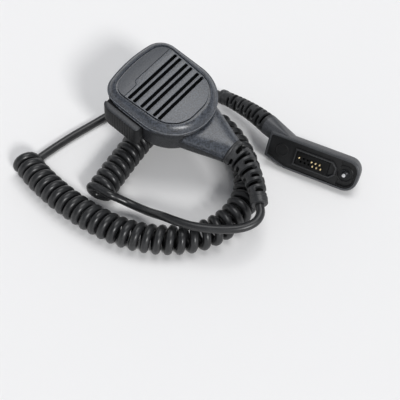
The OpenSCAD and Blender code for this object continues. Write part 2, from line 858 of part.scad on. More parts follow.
module plug_form() {
    hull() {
        plug_slice(-slice, 0.8);
        plug_slice(-1, 0);
        plug_slice(-plug_d + 5.5, 0);
        plug_slice(-plug_d + 2, 1.6);
        plug_slice(-plug_d, 5);
    }
}

// The shoulder carries the strain relief off the plug's back corner
module plug_shoulder() {
    hull() {
        plug_frame()
            block([plug_left + 0.4, -1, 1.4 - plug_d], [plug_left + shoulder_l, plug_w / 2 - 0.6, -1.6]);
        part_frame() along(plug_boot_line[0], plug_boot_line[1] - plug_boot_line[0])
            translate([0, 0, -slice]) cylinder(r = plug_neck_r, h = slice, $fn = 32);
    }
}

module gasket_outline(grow) {
    left = block_at - block_l / 2 - gasket_room - grow;
    right = block_at + block_l / 2 + gasket_room + gasket_reach + grow;
    half = block_w / 2 + gasket_room - 0.3 + grow;
    cut = gasket_cut + grow * (2 - sqrt(2));
    polygon([[left, -half], [right - cut, -half], [right, cut - half],
        [right, half - cut], [right - cut, half], [left, half]]);
}

// Middle of the lid and the space behind the face wall
module plug_space(grow, from, to) {
    l = cavity_l / 2 + grow;
    w = cavity_w / 2 + grow;
    block([block_at - l, -w, from], [block_at + l, w, to]);
}

module plug_housing() {
    color("#1d1f22") difference() {
        union() {
            plug_frame() plug_form();
            plug_shoulder();
            plug_frame() drill(boss_at, boss_r, -over, boss_h);
        }
        plug_frame() {
            plug_space(0, -plug_d - over, -plug_wall);
            plug_space(lid_rim, -plug_d - over, cavity_back);
            block([block_at - block_l / 2 - seat_gap, -block_w / 2 - seat_gap, -plug_wall - over],
                [block_at + block_l / 2 + seat_gap, block_w / 2 + seat_gap, over]);
            drill([screw_at, 0], recess_r, -recess_d, over);
            drill([screw_at, 0], shank_r + run_fit, -plug_d, over);
            drill([screw_at, 0], knob_r + knob_gap, -plug_d - over, knob_bed);
            drill(boss_at, boss_r - 0.6, boss_h / 2, boss_h + over);
        }
    }
}

module plug_lid() {
    color("#202225") plug_frame() plug_space(lid_rim - seat_gap, cavity_back - lid_t, cavity_back);
}

module plug_gasket() {
    color("#121314") plug_frame() linear_extrude(gasket_proud) difference() {
        gasket_outline(0);
        gasket_outline(-gasket_band / 2);
    }
}

// All pin places as column and row
function pin_at(pin) =
    [first_pin + pin[0] * pin_pitch + pin[1] * row_shift, row_pitch / 2 - pin[1] * row_pitch - 0.3];

module contact_block() {
    color("#141516") plug_frame() difference() {
        union() {
            block([block_at - block_l / 2, -block_w / 2, -plug_wall - block_flange_t],
                [block_at + block_l / 2, block_w / 2, block_proud]);
            block([block_at - block_l / 2 - block_flange, -block_w / 2 - block_flange,
                    -plug_wall - block_flange_t],
                [block_at + block_l / 2 + block_flange, block_w / 2 + block_flange, -plug_wall]);
        }
        for (column = [0:pins_in_row - 1], row = [0, 1])
            drill(pin_at([column, row]), hole_r, -plug_wall - block_flange_t - over, block_proud + over);
    }
}

module contact_pins() {
    color("#c9a24a") plug_frame() for (pin = live_pins)
        drill(pin_at(pin), pin_r, pin_back, block_proud + pin_proud);
}

module plug_board() {
    front = pin_back - pin_stroke - 0.2;
    color("#1f5a3a") plug_frame() plug_space(-0.3, front - plug_board_t, front);
}

module thumb_screw() {
    grip_cuts = 16;
    tip = knob_top + shank_l + thread_l;
    color("#b9bbbe") plug_frame() difference() {
        union() {
            drill([screw_at, 0], knob_r, knob_top - knob_h, knob_top);
            drill([screw_at, 0], shank_r, knob_top - over, knob_top + shank_l);
            drill([screw_at, 0], thread_r, knob_top + shank_l - over, tip);
            translate([screw_at, 0, tip]) cylinder(r1 = thread_r, r2 = thread_r - 0.4, h = 0.4);
        }
        for (i = [0:grip_cuts - 1]) {
            turn = 360 * i / grip_cuts;
            drill([screw_at + (knob_r + 0.2) * cos(turn), (knob_r + 0.2) * sin(turn)], 0.5,
                knob_top - knob_h - over, knob_top + over);
        }
        translate([screw_at - knob_r, -0.7, knob_top - knob_h - over]) cube([2 * knob_r, 1.4, over + 1.2]);
    }
}

module retaining_ring() {
    low = -recess_d + 0.2;
    color("#9fa2a6") plug_frame() translate([screw_at, 0, 0])
        ring(ring_r, shank_r + run_fit, low, low + ring_t);
}

// Clip
module clip_plate(from, to, low, high, half) {
    block([-half, low, from], [half, high, to]);
}

module cross_drill(r, half, z) {
    translate([-half, hinge_y, z]) rotate([0, 90, 0]) cylinder(r = r, h = 2 * half);
}

module clip_base() {
    color("#2a2c30") mic_frame() difference() {
        union() {
            clip_plate(clip_under, clip_top, -clip_tip, hinge_y + 3, clip_half);
            drill([0, -clip_down], clip_boss_r - 1, clip_under, clip_top);
            for (side = [-1, 1])
                translate([side * (clip_half - ear_t / 2), 0, 0]) {
                    clip_plate(hinge_z, clip_under + over, hinge_y - 2.4, hinge_y + 2.4, ear_t / 2);
                    cross_drill(2.4, ear_t / 2, hinge_z);
                }
        }
        drill([0, -clip_down], swivel_r + run_fit, clip_under - over, clip_top + over);
        cross_drill(clip_pin_r + run_fit / 2, clip_half + over, hinge_z);
    }
}

module clip_screw() {
    color("#8d9094") mic_frame() difference() {
        union() {
            drill([0, -clip_down], swivel_r, clip_under - over, back + swivel_grip - 0.3);
            drill([0, -clip_down], swivel_head_r, clip_under - seat_gap - swivel_head_h,
                clip_under - seat_gap);
        }
        translate([-swivel_head_r, -clip_down - 0.4, clip_under - seat_gap - swivel_head_h - over])
            cube([2 * swivel_head_r, 0.8, over + 0.6]);
    }
}

module clip_pin() {
    color("#b4b6b9") mic_frame() cross_drill(clip_pin_r, clip_half, hinge_z);
}

// Coiled wire round the hinge pin
module clip_spring() {
    mean_r = clip_pin_r + 0.3 + spring_wire / 2;
    steps = clip_spring_curls * rings_per_curl;
    travel = spring_l - spring_wire;
    points = [for (i = [0:steps])
        [travel * (i / steps - 0.5), mean_r * cos(360 * i / rings_per_curl),
            mean_r * sin(360 * i / rings_per_curl)]];
    slope = [travel / clip_spring_curls, 2 * PI * mean_r];
    rings = [for (i = [0:steps])
        let (
            turn = 360 * i / rings_per_curl,
            heading = unit([slope[0], -slope[1] * sin(turn), slope[1] * cos(turn)]),
            spoke = [0, cos(turn), sin(turn)],
            side = cross(heading, spoke)
        )
        [for (k = [0:curl_sides - 1])
            points[i] + spring_wire / 2
                * (cos(360 * k / curl_sides) * spoke + sin(360 * k / curl_sides) * side)]];
    color("#c2c4c6") mic_frame() translate([0, hinge_y, hinge_z]) tube(rings);
}

module clip_lever() {
    teeth = floor(jaw_l / tooth_step);
    color("#2a2c30") mic_frame() difference() {
        union() {
            clip_plate(lever_under, lever_top, -clip_tip, clip_tab, clip_w / 2);
            clip_plate(lever_top - over, clip_under - jaw_gap, -clip_tip, jaw_l - clip_tip, clip_w / 2);
            clip_plate(lever_top - over, hinge_z, hinge_y - 1.6, hinge_y + 1.6, clip_w / 2);
            cross_drill(hub_r, clip_w / 2, hinge_z);
        }
        cross_drill(clip_pin_r + run_fit, clip_half, hinge_z);
        clip_plate(lever_top, clip_under, hinge_y - hub_r - 1, hinge_y + hub_r + 1, hub_gap);
        for (i = [0:teeth - 1])
            translate([0, (i + 0.5) * tooth_step - clip_tip, clip_under - jaw_gap]) rotate([0, 90, 0])
                cylinder(r = 0.4, h = clip_w + 2 * over, center = true);
        for (i = [0:2])
            translate([0, clip_tab - 1.5 - 1.6 * i, lever_under]) rotate([0, 90, 0])
                cylinder(r = 0.4, h = clip_w + 2 * over, center = true);
    }
}

front_shell();
name_plate();
dust_screen();
rear_shell();
shell_gasket();
case_screws();
ptt_button();
switch_body();
switch_plunger();
speaker_felt();
speaker_frame();
speaker_cone();
speaker_magnet();
mic_capsule();
capsule_boot();
circuit_board();
board_connector();
cable_tail();
mic_boot();
mic_lead();
cord_curls();
plug_lead();
plug_boot();
plug_housing();
plug_lid();
plug_gasket();
contact_block();
contact_pins();
plug_board();
thumb_screw();
retaining_ring();
clip_base();
clip_screw();
clip_pin();
clip_spring();
clip_lever();
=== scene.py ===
import math

import bmesh
import bpy
from mathutils import Matrix, Vector


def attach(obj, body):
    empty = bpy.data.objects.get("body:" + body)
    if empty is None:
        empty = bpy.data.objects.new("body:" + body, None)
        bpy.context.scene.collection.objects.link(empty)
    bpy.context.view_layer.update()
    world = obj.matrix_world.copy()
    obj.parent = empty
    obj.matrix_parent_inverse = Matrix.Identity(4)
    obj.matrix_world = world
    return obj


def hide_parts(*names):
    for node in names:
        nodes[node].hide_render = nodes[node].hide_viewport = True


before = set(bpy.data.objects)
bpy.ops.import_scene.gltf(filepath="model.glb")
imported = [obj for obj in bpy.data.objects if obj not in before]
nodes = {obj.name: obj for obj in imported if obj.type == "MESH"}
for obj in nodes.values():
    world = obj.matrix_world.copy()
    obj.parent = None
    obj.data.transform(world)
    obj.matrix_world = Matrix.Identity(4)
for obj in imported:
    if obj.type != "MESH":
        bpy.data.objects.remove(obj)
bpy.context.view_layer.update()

scene = bpy.context.scene

# Sizes are written in millimetres and turned into metres where a mesh is made.
MM = 0.001
UP = Vector((0, 0, 1))

# The microphone's pose, the plug's pose and the outlines repeat the CAD source's values.
FACE_H = 53
MIC_PITCH = 11.8
MIC_ROLL = 6
PLUG_AT = Vector((32.7, -65.9, 12.4))
PLUG_YAW = -78.5
PLUG_LEAN = 62
CLIP_UNDER = -28.5
JAW_Y = -17.75


def turn(degrees, axis):
    return Matrix.Rotation(math.radians(degrees), 4, axis)


def lerp(a, b, t):
    return a + (b - a) * t


def smooth(t):
    """Runs from 0 to 1 with a soft start and end."""
    t = max(0.0, min(1.0, t))
    return t * t * (3 - 2 * t)


def angles(sides):
    return [2 * math.pi * k / sides for k in range(sides)]


MIC_TURN = turn(MIC_PITCH, "X") @ turn(-MIC_ROLL, "Y")
PLUG_TURN = turn(PLUG_YAW, "Z") @ turn(PLUG_LEAN, "X")


def mic_point(x, y, z):
    return MIC_TURN @ Vector((x, y, z)) + Vector((0, 0, FACE_H))


def plug_point(x, y, z):
    return PLUG_TURN @ Vector((x, y, z)) + PLUG_AT


# The row frame's origin is at the clip's jaw, and the floor lies below it.
ORIGIN = mic_point(0, JAW_Y, CLIP_UNDER)
FLOOR = Matrix.Translation(-ORIGIN * MM)
MIC = FLOOR @ Matrix.Translation((0, 0, FACE_H * MM)) @ MIC_TURN
PLUG = FLOOR @ Matrix.Translation(PLUG_AT * MM) @ PLUG_TURN


def keep(o):
    scene.collection.objects.link(o)
    return o


def look_along(o, way):
    o.rotation_euler = way.to_track_quat("-Z", "Y").to_euler()


# Camera at the photograph's viewing angle.
CAMERA_AT = Vector((-214.8, -195.7, 335))
CAMERA_AZIMUTH = math.radians(-51.4)
CAMERA_HEIGHT = math.radians(53.42)
CAMERA_LENS = 62.73
CAMERA_SENSOR = 36
CAMERA_NEAR = 0.01
back = Vector((
    math.sin(CAMERA_AZIMUTH) * math.cos(CAMERA_HEIGHT),
    -math.cos(CAMERA_AZIMUTH) * math.cos(CAMERA_HEIGHT),
    math.sin(CAMERA_HEIGHT),
))
camera_data = bpy.data.cameras.new("camera")
camera_data.lens = CAMERA_LENS
camera_data.sensor_width = CAMERA_SENSOR
camera_data.clip_start = CAMERA_NEAR
camera = keep(bpy.data.objects.new("camera", camera_data))
camera.location = (CAMERA_AT - ORIGIN) * MM
look_along(camera, -back)
scene.camera = camera

# Cord: the same points and runs as in the CAD source. A run is a length and the degrees it turns by.
CORD_D = 5
CURL_R = 6.2
CURL_GAP = 0.6
CURL_H = CURL_R + CORD_D / 2 - CORD_D / 10
CURL_START = (-59, 5)
CURL_HEADING = 13
CURL_RUNS = [(57, -5), (52, -109), (43, -34), (66, -89), (44, -36), (75, -26)]
CURL_STEPS = 20
LEAD_STEPS = 8
JOIN_STEPS = 4
HEADING_STEP = 0.01
NECK_END = 50
NECK_Z = -14.5
NECK_R = 8
PLUG_NECK = (-17.5, 10.2, -7.8)
PLUG_NECK_R = 6.4


def run_point(at, heading, run, d):
    r = math.degrees(run[0] / run[1])
    a = math.radians(heading)
    b = math.radians(heading + run[1] * d / run[0])
    return (at[0] + r * (math.sin(b) - math.sin(a)), at[1] + r * (math.cos(a) - math.cos(b)))


def run_starts():
    """Each run's start, heading, curls so far and pitch, and the count of curls in all."""
    at, heading, curls, starts = CURL_START, CURL_HEADING, 0.0, []
    for run in CURL_RUNS:
        r = abs(math.degrees(run[0] / run[1]))
        pitch = (CORD_D + CURL_GAP) * r / (r - CURL_R)
        starts.append((at, heading, curls, pitch))
        at = run_point(at, heading, run, run[0])
        heading += run[1]
        curls += run[0] / pitch
    return starts, curls


RUNS, SPARE_CURLS = run_starts()
CURL_COUNT = math.floor(SPARE_CURLS - 0.5) + 0.5


def curl_point(curl):
    c = curl * SPARE_CURLS / CURL_COUNT
    i = max(k for k in range(len(RUNS)) if k == 0 or RUNS[k][2] <= c)
    at, heading, first, pitch = RUNS[i]
    d = (c - first) * pitch
    x, y = run_point(at, heading, CURL_RUNS[i], d)
    h = math.radians(heading + CURL_RUNS[i][1] * d / CURL_RUNS[i][0])
    a = math.radians(90 - 360 * curl)
    return Vector((
        x - CURL_R * math.sin(h) * math.cos(a),
        y + CURL_R * math.cos(h) * math.cos(a),
        CURL_H + CURL_R * math.sin(a),
    ))


def curl_heading(curl):
    return (curl_point(curl + HEADING_STEP) - curl_point(curl - HEADING_STEP)).normalized()


def curve_point(points, t):
    """A smooth curve through points; t counts them."""
    last = len(points) - 1
    i = min(int(t), last - 1)
    f = t - i
    a, b = points[i], points[i + 1]
    before = points[i - 1] if i > 0 else 2 * a - b
    after = points[i + 2] if i < last - 1 else 2 * b - a
    return a + ((b - before) * f + (2 * before - 5 * a + 4 * b - after) * f * f
                + (3 * a - before - 3 * b + after) * f * f * f) / 2


def curve_heading(points, t):
    low, high = max(t - HEADING_STEP, 0), min(t + HEADING_STEP, len(points) - 1)
    return (curve_point(points, high) - curve_point(points, low)).normalized()


def sampled(points, steps):
    count = (len(points) - 1) * steps
    return [curve_point(points, i / steps) for i in range(count + 1)]


def between(a, b):
    return [lerp(a, b, k / JOIN_STEPS) for k in range(1, JOIN_STEPS)]


def vectors(points):
    return [Vector(p) for p in points]


curl_in = curl_point(0) - CORD_D * curl_heading(0)
curl_out = curl_point(CURL_COUNT) + CORD_D * curl_heading(CURL_COUNT)
mic_boot_line = [mic_point(0, -NECK_END, NECK_Z), mic_point(0, -NECK_END - 8, NECK_Z)] + vectors([
    (-2.2, -62.4, 25.8), (-8, -71, 24.8), (-16.2, -79.4, 23.6)])
mic_lead_line = [mic_boot_line[-1]] + vectors([
    (-20.8, -83.2, 23), (-27, -83.6, 22), (-34.4, -79.2, 21.2), (-42.4, -69.6, 20.8), (-49, -58, 20.8),
    (-51.8, -48, 20), (-52.2, -39, 17), (-51.8, -30, 12), (-51.6, -21.5, 8.5), (-53, -14, 8.5),
    (-55.6, -8.6, 11.4), (-58.2, -4.5, 14.3)]) + [curl_in]
plug_lead_line = [curl_out] + vectors([
    (-57, 56.4, 2.5), (-47, 55.4, 2.5), (-33, 53.4, 2.5), (-17, 50.2, 2.5), (0, 46.8, 2.5), (15, 42.8, 2.5),
    (28, 37.4, 2.5), (38, 30.2, 2.5), (45, 21, 2.8), (48.8, 11, 5.2), (49.6, 2.8, 8), (48.6, -3.6, 9.8)])
plug_boot_line = [plug_point(*PLUG_NECK)] + vectors([
    (43.2, -36, 16.8), (45.4, -25.5, 15), (47.2, -14.6, 12.6)]) + [plug_lead_line[-1]]

curl_line = [curl_point(i / CURL_STEPS) for i in range(int(CURL_COUNT * CURL_STEPS) + 1)]
cord_line = sampled(mic_lead_line, LEAD_STEPS) + between(curl_in, curl_line[0])
cord_line += curl_line + between(curl_line[-1], curl_out)
cord_line += sampled(plug_lead_line, LEAD_STEPS)
# The cord lies on the floor, so its middle is never under its own radius.
cord_line = [Vector((p.x, p.y, max(p.z, CORD_D / 2))) for p in cord_line]


# Mesh helpers. Points are in millimetres in the frame that place gives.
SHARP = 35
PLATE_SHARP = 40
BOX_SHARP = 30
BOX_STEPS = 2
SAME_POINT = 1e-6


def add_line(curve, points, closed):
    spline = curve.splines.new("POLY")
    spline.points.add(len(points) - 1)
    spline.use_cyclic_u = closed
    for at, p in zip(spline.points, points):
        at.co = (*p, 1)


def curve_piece(name, points, radius, steps=4):
    """A round wire along points, in the floor frame."""
    curve = bpy.data.curves.new(name, "CURVE")
    curve.dimensions = "3D"
    curve.bevel_depth = radius * MM
    curve.bevel_resolution = steps
    curve.use_fill_caps = True
    add_line(curve, [(p - ORIGIN) * MM for p in points], False)
    return keep(bpy.data.objects.new(name, curve))


def soften(mesh, degrees):
    mesh.shade_smooth()
    mesh.set_sharp_from_angle(angle=math.radians(degrees))


def shaded(mesh, degrees):
    bm = bmesh.new()
    bm.from_mesh(mesh)
    bmesh.ops.remove_doubles(bm, verts=bm.verts, dist=SAME_POINT)
    bmesh.ops.recalc_face_normals(bm, faces=bm.faces)
    bm.to_mesh(mesh)
    bm.free()
    soften(mesh, degrees)


def evaluated(o):
    bpy.context.view_layer.update()
    return bpy.data.meshes.new_from_object(o.evaluated_get(bpy.context.evaluated_depsgraph_get()))


def placed(name, mesh, place):
    o = keep(bpy.data.objects.new(name, mesh))
    o.matrix_world = place
    return o


def mesh_piece(name, points, faces, place, degrees=SHARP):
    mesh = bpy.data.meshes.new(name)
    mesh.from_pydata([Vector(p) * MM for p in points], [], faces)
    shaded(mesh, degrees)
    return placed(name, mesh, place)


def loft(name, rings, place, loop=False, degrees=SHARP):
    """A skin over rings with the same number of points; loop joins the last ring to the first."""
    n = len(rings[0])
    points = [p for row in rings for p in row]
    faces = []
    for i in range(len(rings) if loop else len(rings) - 1):
        a, b = i * n, (i + 1) % len(rings) * n
        faces += [(a + k, a + (k + 1) % n, b + (k + 1) % n, b + k) for k in range(n)]
    if not loop:
        last = (len(rings) - 1) * n
        faces += [tuple(range(n - 1, -1, -1)), tuple(range(last, last + n))]
    return mesh_piece(name, points, faces, place, degrees)


def lathe(name, profile, place, at=(0, 0), sides=48, loop=False, wave=None):
    """Turns a profile of (radius, height) round the frame's Z axis through at; wave takes from the radius."""
    rings = []
    for r, z in profile:
        row = []
        for a in angles(sides):
            rr = r - wave(a, r, z) if wave else r
            row.append((at[0] + rr * math.cos(a), at[1] + rr * math.sin(a), z))
        rings.append(row)
    return loft(name, rings, place, loop)


def plate(name, outline, low, high, place, holes=(), edge=0.2, steps=2):
    """A flat plate with rounded edges: outline runs anticlockwise, and holes are turned the other way."""
    curve = bpy.data.curves.new(name, "CURVE")
    curve.dimensions = "2D"
    curve.fill_mode = "BOTH"
    curve.extrude = ((high - low) / 2 - edge) * MM
    curve.bevel_depth = edge * MM
    curve.bevel_resolution = steps
    curve.offset = -edge * MM
    for i, line in enumerate([outline, *holes]):
        area = sum(a[0] * b[1] - b[0] * a[1] for a, b in zip(line, [*line[1:], line[0]]))
        turned = line if (area > 0) == (i == 0) else line[::-1]
        add_line(curve, [(x * MM, y * MM, 0) for x, y in turned], True)
    flat = keep(bpy.data.objects.new(name + "_curve", curve))
    mesh = evaluated(flat)
    mesh.name = name
    mesh.transform(Matrix.Translation((0, 0, (low + high) / 2 * MM)))
    bpy.data.objects.remove(flat)
    bpy.data.curves.remove(curve)
    shaded(mesh, PLATE_SHARP)
    return placed(name, mesh, place)


def baked(o, degrees):
    """Applies an object's modifiers."""
    mesh = evaluated(o)
    o.modifiers.clear()
    o.data = mesh
    shaded(mesh, degrees)
    return o


def combine(o, others, how, degrees=SHARP):
    """Adds or cuts other solids, which are used up."""
    for other in others:
        m = o.modifiers.new("combine", "BOOLEAN")
        m.operation = how
        m.solver = "EXACT"
        m.object = other
        baked(o, degrees)
        bpy.data.objects.remove(other)
    return o


def joined(name, pieces):
    """One object out of several in the same frame."""
    place = pieces[0].matrix_world.copy()
    mesh = bpy.data.meshes.new(name)
    bm = bmesh.new()
    for p in pieces:
        part = p.data.copy()
        part.transform(place.inverted() @ p.matrix_world)
        bm.from_mesh(part)
        bpy.data.meshes.remove(part)
    bm.to_mesh(mesh)
    bm.free()
    for p in pieces:
        bpy.data.objects.remove(p)
    return placed(name, mesh, place)


def parted(o, name, test, degrees):
    """Moves the faces that pass a test into an object of their own."""
    mesh = o.data
    inside = {face.index for face in mesh.polygons if test(face)}
    made = []
    for part in (set(range(len(mesh.polygons))) - inside, inside):
        bm = bmesh.new()
        bm.from_mesh(mesh)
        bm.faces.ensure_lookup_table()
        bmesh.ops.delete(bm, geom=[f for f in bm.faces if f.index not in part], context="FACES")
        piece = bpy.data.meshes.new(name)
        bm.to_mesh(piece)
        bm.free()
        soften(piece, degrees)
        made.append(piece)
    o.data = made[0]
    return o, placed(name, made[1], o.matrix_world.copy())


def hull_piece(name, points, place, degrees):
    bm = bmesh.new()
    for p in points:
        bm.verts.new(p * MM)
    hull = bmesh.ops.convex_hull(bm, input=bm.verts)
    spare = {*hull["geom_interior"], *hull["geom_unused"]}
    bmesh.ops.delete(bm, geom=[v for v in spare if isinstance(v, bmesh.types.BMVert)], context="VERTS")
    mesh = bpy.data.meshes.new(name)
    bm.to_mesh(mesh)
    bm.free()
    shaded(mesh, degrees)
    return placed(name, mesh, place)


def box_piece(name, low, high, place, edge=0.0):
    x0, y0, z0 = low
    x1, y1, z1 = high
    points = [(x, y, z) for z in (z0, z1) for x, y in ((x0, y0), (x1, y0), (x1, y1), (x0, y1))]
    faces = [(3, 2, 1, 0), (4, 5, 6, 7)] + [(k, (k + 1) % 4, (k + 1) % 4 + 4, k + 4) for k in range(4)]
    o = mesh_piece(name, points, faces, place)
    if not edge:
        return o
    m = o.modifiers.new("round", "BEVEL")
    m.width = edge * MM
    m.segments = BOX_STEPS
    m.limit_method = "ANGLE"
    m.angle_limit = math.radians(BOX_SHARP)
    m.use_clamp_overlap = True
    return baked(o, BOX_SHARP)


def arc(at, r, start, end, steps):
    turned = [math.radians(lerp(start, end, i / steps)) for i in range(steps + 1)]
    return [(at[0] + r * math.cos(a), at[1] + r * math.sin(a)) for a in turned]


def round_rect(x0, y0, x1, y1, r, steps=6):
    return (arc((x1 - r, y0 + r), r, -90, 0, steps) + arc((x1 - r, y1 - r), r, 0, 90, steps)
            + arc((x0 + r, y1 - r), r, 90, 180, steps) + arc((x0 + r, y0 + r), r, 180, 270, steps))


def circle(at, r, steps=32):
    return arc(at, r, 0, 360 * (steps - 1) / steps, steps - 1)


# Materials: each has grain at its own scale, uneven gloss and a bump.
FINE_BAND = (0.4, 0.6)
WIDE_BAND = (0.3, 0.7)
FINE_SHARE = 0.6
WIDE_SHARE = 0.4
GREEN_SHARE = 0.35


def ramp(tree, source, band, a, b):
    m = tree.nodes.new("ShaderNodeMapRange")
    for socket, value in zip(m.inputs[1:5], (*band, a, b)):
        socket.default_value = value
    tree.links.new(source, m.inputs[0])
    return m.outputs[0]


def noise(tree, at, size, detail=3.0, roughness=0.55):
    n = tree.nodes.new("ShaderNodeTexNoise")
    n.inputs["Scale"].default_value = 1 / (size * MM)
    n.inputs["Detail"].default_value = detail
    n.inputs["Roughness"].default_value = roughness
    tree.links.new(at, n.inputs["Vector"])
    return n.outputs[0]


def surface(name, dark, light, rough, spread, grain, bump, broad=14, metal=0.0, level=0.5, depth=0.06):
    """Dark and light are the two ends of the grain's colour; grain, broad and depth are in millimetres."""
    material = bpy.data.materials.new(name)
    material.use_nodes = True
    tree = material.node_tree
    shader = tree.nodes["Principled BSDF"]
    shader.inputs["Metallic"].default_value = metal
    shader.inputs["Specular IOR Level"].default_value = level
    at = tree.nodes.new("ShaderNodeTexCoord").outputs["Object"]
    fine = noise(tree, at, grain)
    wide = noise(tree, at, broad, 4.0, 0.6)
    colour = tree.nodes.new("ShaderNodeMix")
    colour.data_type = "RGBA"
    colour.inputs["A"].default_value = (*dark, 1)
    colour.inputs["B"].default_value = (*light, 1)
    both = tree.nodes.new("ShaderNodeMath")
    both.operation = "ADD"
    tree.links.new(ramp(tree, fine, FINE_BAND, 0, FINE_SHARE), both.inputs[0])
    tree.links.new(ramp(tree, wide, WIDE_BAND, 0, WIDE_SHARE), both.inputs[1])
    tree.links.new(both.outputs[0], colour.inputs["Factor"])
    tree.links.new(colour.outputs["Result"], shader.inputs["Base Color"])
    tree.links.new(ramp(tree, wide, WIDE_BAND, rough - spread, rough + spread), shader.inputs["Roughness"])
    b = tree.nodes.new("ShaderNodeBump")
    b.inputs["Strength"].default_value = bump
    b.inputs["Distance"].default_value = depth * MM
    tree.links.new(fine, b.inputs["Height"])
    tree.links.new(b.outputs[0], shader.inputs["Normal"])
    return material


def grey(v, blue=1.1):
    """A grey with a cool cast; green takes a share of it."""
    return (v, v * (1 + GREEN_SHARE * (blue - 1)), v * blue)


# After the two colours come roughness, its spread, the grain's size and the bump.
case_plastic = surface("case_plastic", grey(0.003, 1.45), grey(0.07, 1.45), 0.34, 0.06, 0.9, 1.0,
                       broad=1.6, level=0.75, depth=0.08)
# A darker, less glossy copy of the case plastic: painted shade on the rear shell's flanks.
rear_painted_shade_plastic = surface("rear_painted_shade_plastic", grey(0.004, 1.2), grey(0.04, 1.2), 0.46, 0.1, 0.9, 1.0,
                       broad=1.6, level=0.25, depth=0.08)
plate_plastic = surface("plate_plastic", grey(0.014, 1.45), grey(0.045, 1.45), 0.4, 0.05, 0.7, 0.7,
                        broad=2, level=0.7, depth=0.1)
trim_plastic = surface("trim_plastic", grey(0.014, 1.25), grey(0.04, 1.25), 0.46, 0.06, 0.6, 0.5)
# A darker copy of the trim plastic: painted shade on the push-to-talk bar's outer face, whose top keeps the
# trim plastic.
bar_painted_shade_plastic = surface("bar_painted_shade_plastic", grey(0.006, 1.1), grey(0.022, 1.1), 0.55, 0.06, 0.7, 0.5, level=0.2)
plug_plastic = surface("plug_plastic", grey(0.026, 1.15), grey(0.066, 1.15), 0.4, 0.06, 0.5, 0.35)
# Darker than the housing's plastic: painted shade on the plug's sunk face.
plug_face_painted_shade = surface("plug_face_painted_shade", grey(0.005), grey(0.014), 0.42, 0.06, 0.5, 0.3, level=0.34)
plug_inner = surface("plug_inner", grey(0.002), grey(0.005), 0.55, 0.06, 0.4, 0.2, level=0.2)
boot_rubber = surface("boot_rubber", grey(0.012), grey(0.036), 0.44, 0.06, 0.5, 0.35)
cord_jacket = surface("cord_jacket", grey(0.008), grey(0.02), 0.34, 0.05, 0.7, 0.15, broad=9)
# Near black: painted shade in the strain reliefs' windows and behind the slots, and the capsule boot's own
# colour.
black_rubber_and_painted_shade = surface("black_rubber_and_painted_shade", grey(0.001), grey(0.003), 0.85, 0.05, 0.4, 0.3, level=0.08)
felt = surface("felt", grey(0.002), grey(0.006), 0.9, 0.05, 0.25, 0.8, level=0.1, depth=0.15)
paper = surface("cone_paper", grey(0.03), grey(0.06), 0.85, 0.05, 0.3, 0.5)
iron = surface("magnet", grey(0.12), grey(0.2), 0.5, 0.08, 0.5, 0.3, metal=0.8)
# Dark and not metal: painted shade on the capsule inside the case.
capsule_metal = surface("capsule_metal", grey(0.02), grey(0.04), 0.6, 0.05, 0.4, 0.1)
board = surface("board", (0.012, 0.09, 0.035), (0.02, 0.15, 0.06), 0.35, 0.05, 0.8, 0.15)
ivory = surface("pale_plastic", (0.55, 0.5, 0.38), (0.65, 0.6, 0.48), 0.45, 0.05, 0.6, 0.1)
steel = surface("steel", grey(0.3, 1.03), grey(0.45, 1.03), 0.38, 0.08, 0.5, 0.15, metal=1.0)
# Bright steel is a painted highlight on the screw's tip; the dark steel under it is painted shade on the
# thread and the retaining ring.
steel_painted_highlight = surface("steel_painted_highlight", grey(0.7, 1.02), grey(0.85, 1.02), 0.4, 0.06, 0.4, 0.1, metal=1.0)
steel_painted_shade = surface("steel_painted_shade", grey(0.025), grey(0.05), 0.32, 0.06, 0.5, 0.15, metal=1.0)
gold = surface("gold", (0.78, 0.6, 0.3), (0.95, 0.78, 0.48), 0.28, 0.06, 0.4, 0.08, metal=1.0)


def paint(o, material):
    o.data.materials.clear()
    o.data.materials.append(material)


def dress(o, material, body="case", stands_for=()):
    """Gives a piece its material and the body it rides on, and hides the CAD nodes it stands for."""
    paint(o, material)
    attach(o, body)
    for node in stands_for:
        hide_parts(node)
    return o


cord = curve_piece("curly_cord", cord_line, CORD_D / 2)
dress(cord, cord_jacket, "case", ["mic_lead", "cord_curls", "plug_lead"])

# Head outline, from the panel at t = 0 to the rim at t = 1. Each pair gives both ends.
TOP_BOW = 11
TOP_R = (8, 12)
TOP_W = (43, 52.8)
TOP_Y = (23, 28.6)
LOW_R = (16.5, 26.2)
LOW_W = (40.4, 52.8)
LOW_Y = (23.4, 31)


def shield(t, inset=0.0):
    top_r, wide = lerp(*TOP_R, t), lerp(*LOW_W, t) / 2
    low_r = min(lerp(*LOW_R, t), wide)
    top_at = Vector((lerp(*TOP_W, t) / 2 - top_r, lerp(*TOP_Y, t) - top_r))
    low_at = Vector((wide - low_r, low_r - lerp(*LOW_Y, t)))
    span = top_at - low_at
    side = math.degrees(math.atan2(span.y, span.x) - math.acos((low_r - top_r) / span.length))
    bow = math.radians(TOP_BOW)
    bow_at = (0, top_at.y - top_at.x / math.tan(bow))
    bow_r = top_at.x / math.sin(bow) + top_r
    right = arc(low_at, low_r - inset, -90, side, 26) + arc(top_at, top_r - inset, side, 90 - TOP_BOW, 18)
    right += arc(bow_at, bow_r - inset, 90 - 0.9 * TOP_BOW, 90 - 0.1 * TOP_BOW, 8)
    return right + [(-x, y) for x, y in right[::-1]]


def ring(t, inset, z):
    return [(x, y, z) for x, y in shield(t, inset)]


# Name plate: its lower edge steps down at the left, from the head of the step to its foot.
PLATE_EDGE = 16.2
PLATE_STEP = 2.6
STEP_FOOT = [(-12, 0), (-11, 0.2), (-10.4, 0.8)]
STEP_HEAD = [(-9.8, -0.8), (-9.2, -0.2), (-8.2, 0)]


def crossing(points, y):
    """Where one flank of an outline passes a level."""
    for a, b in zip(points, points[1:]):
        if (a[1] - y) * (b[1] - y) <= 0:
            return (lerp(a[0], b[0], (y - a[1]) / (b[1] - a[1])), y)


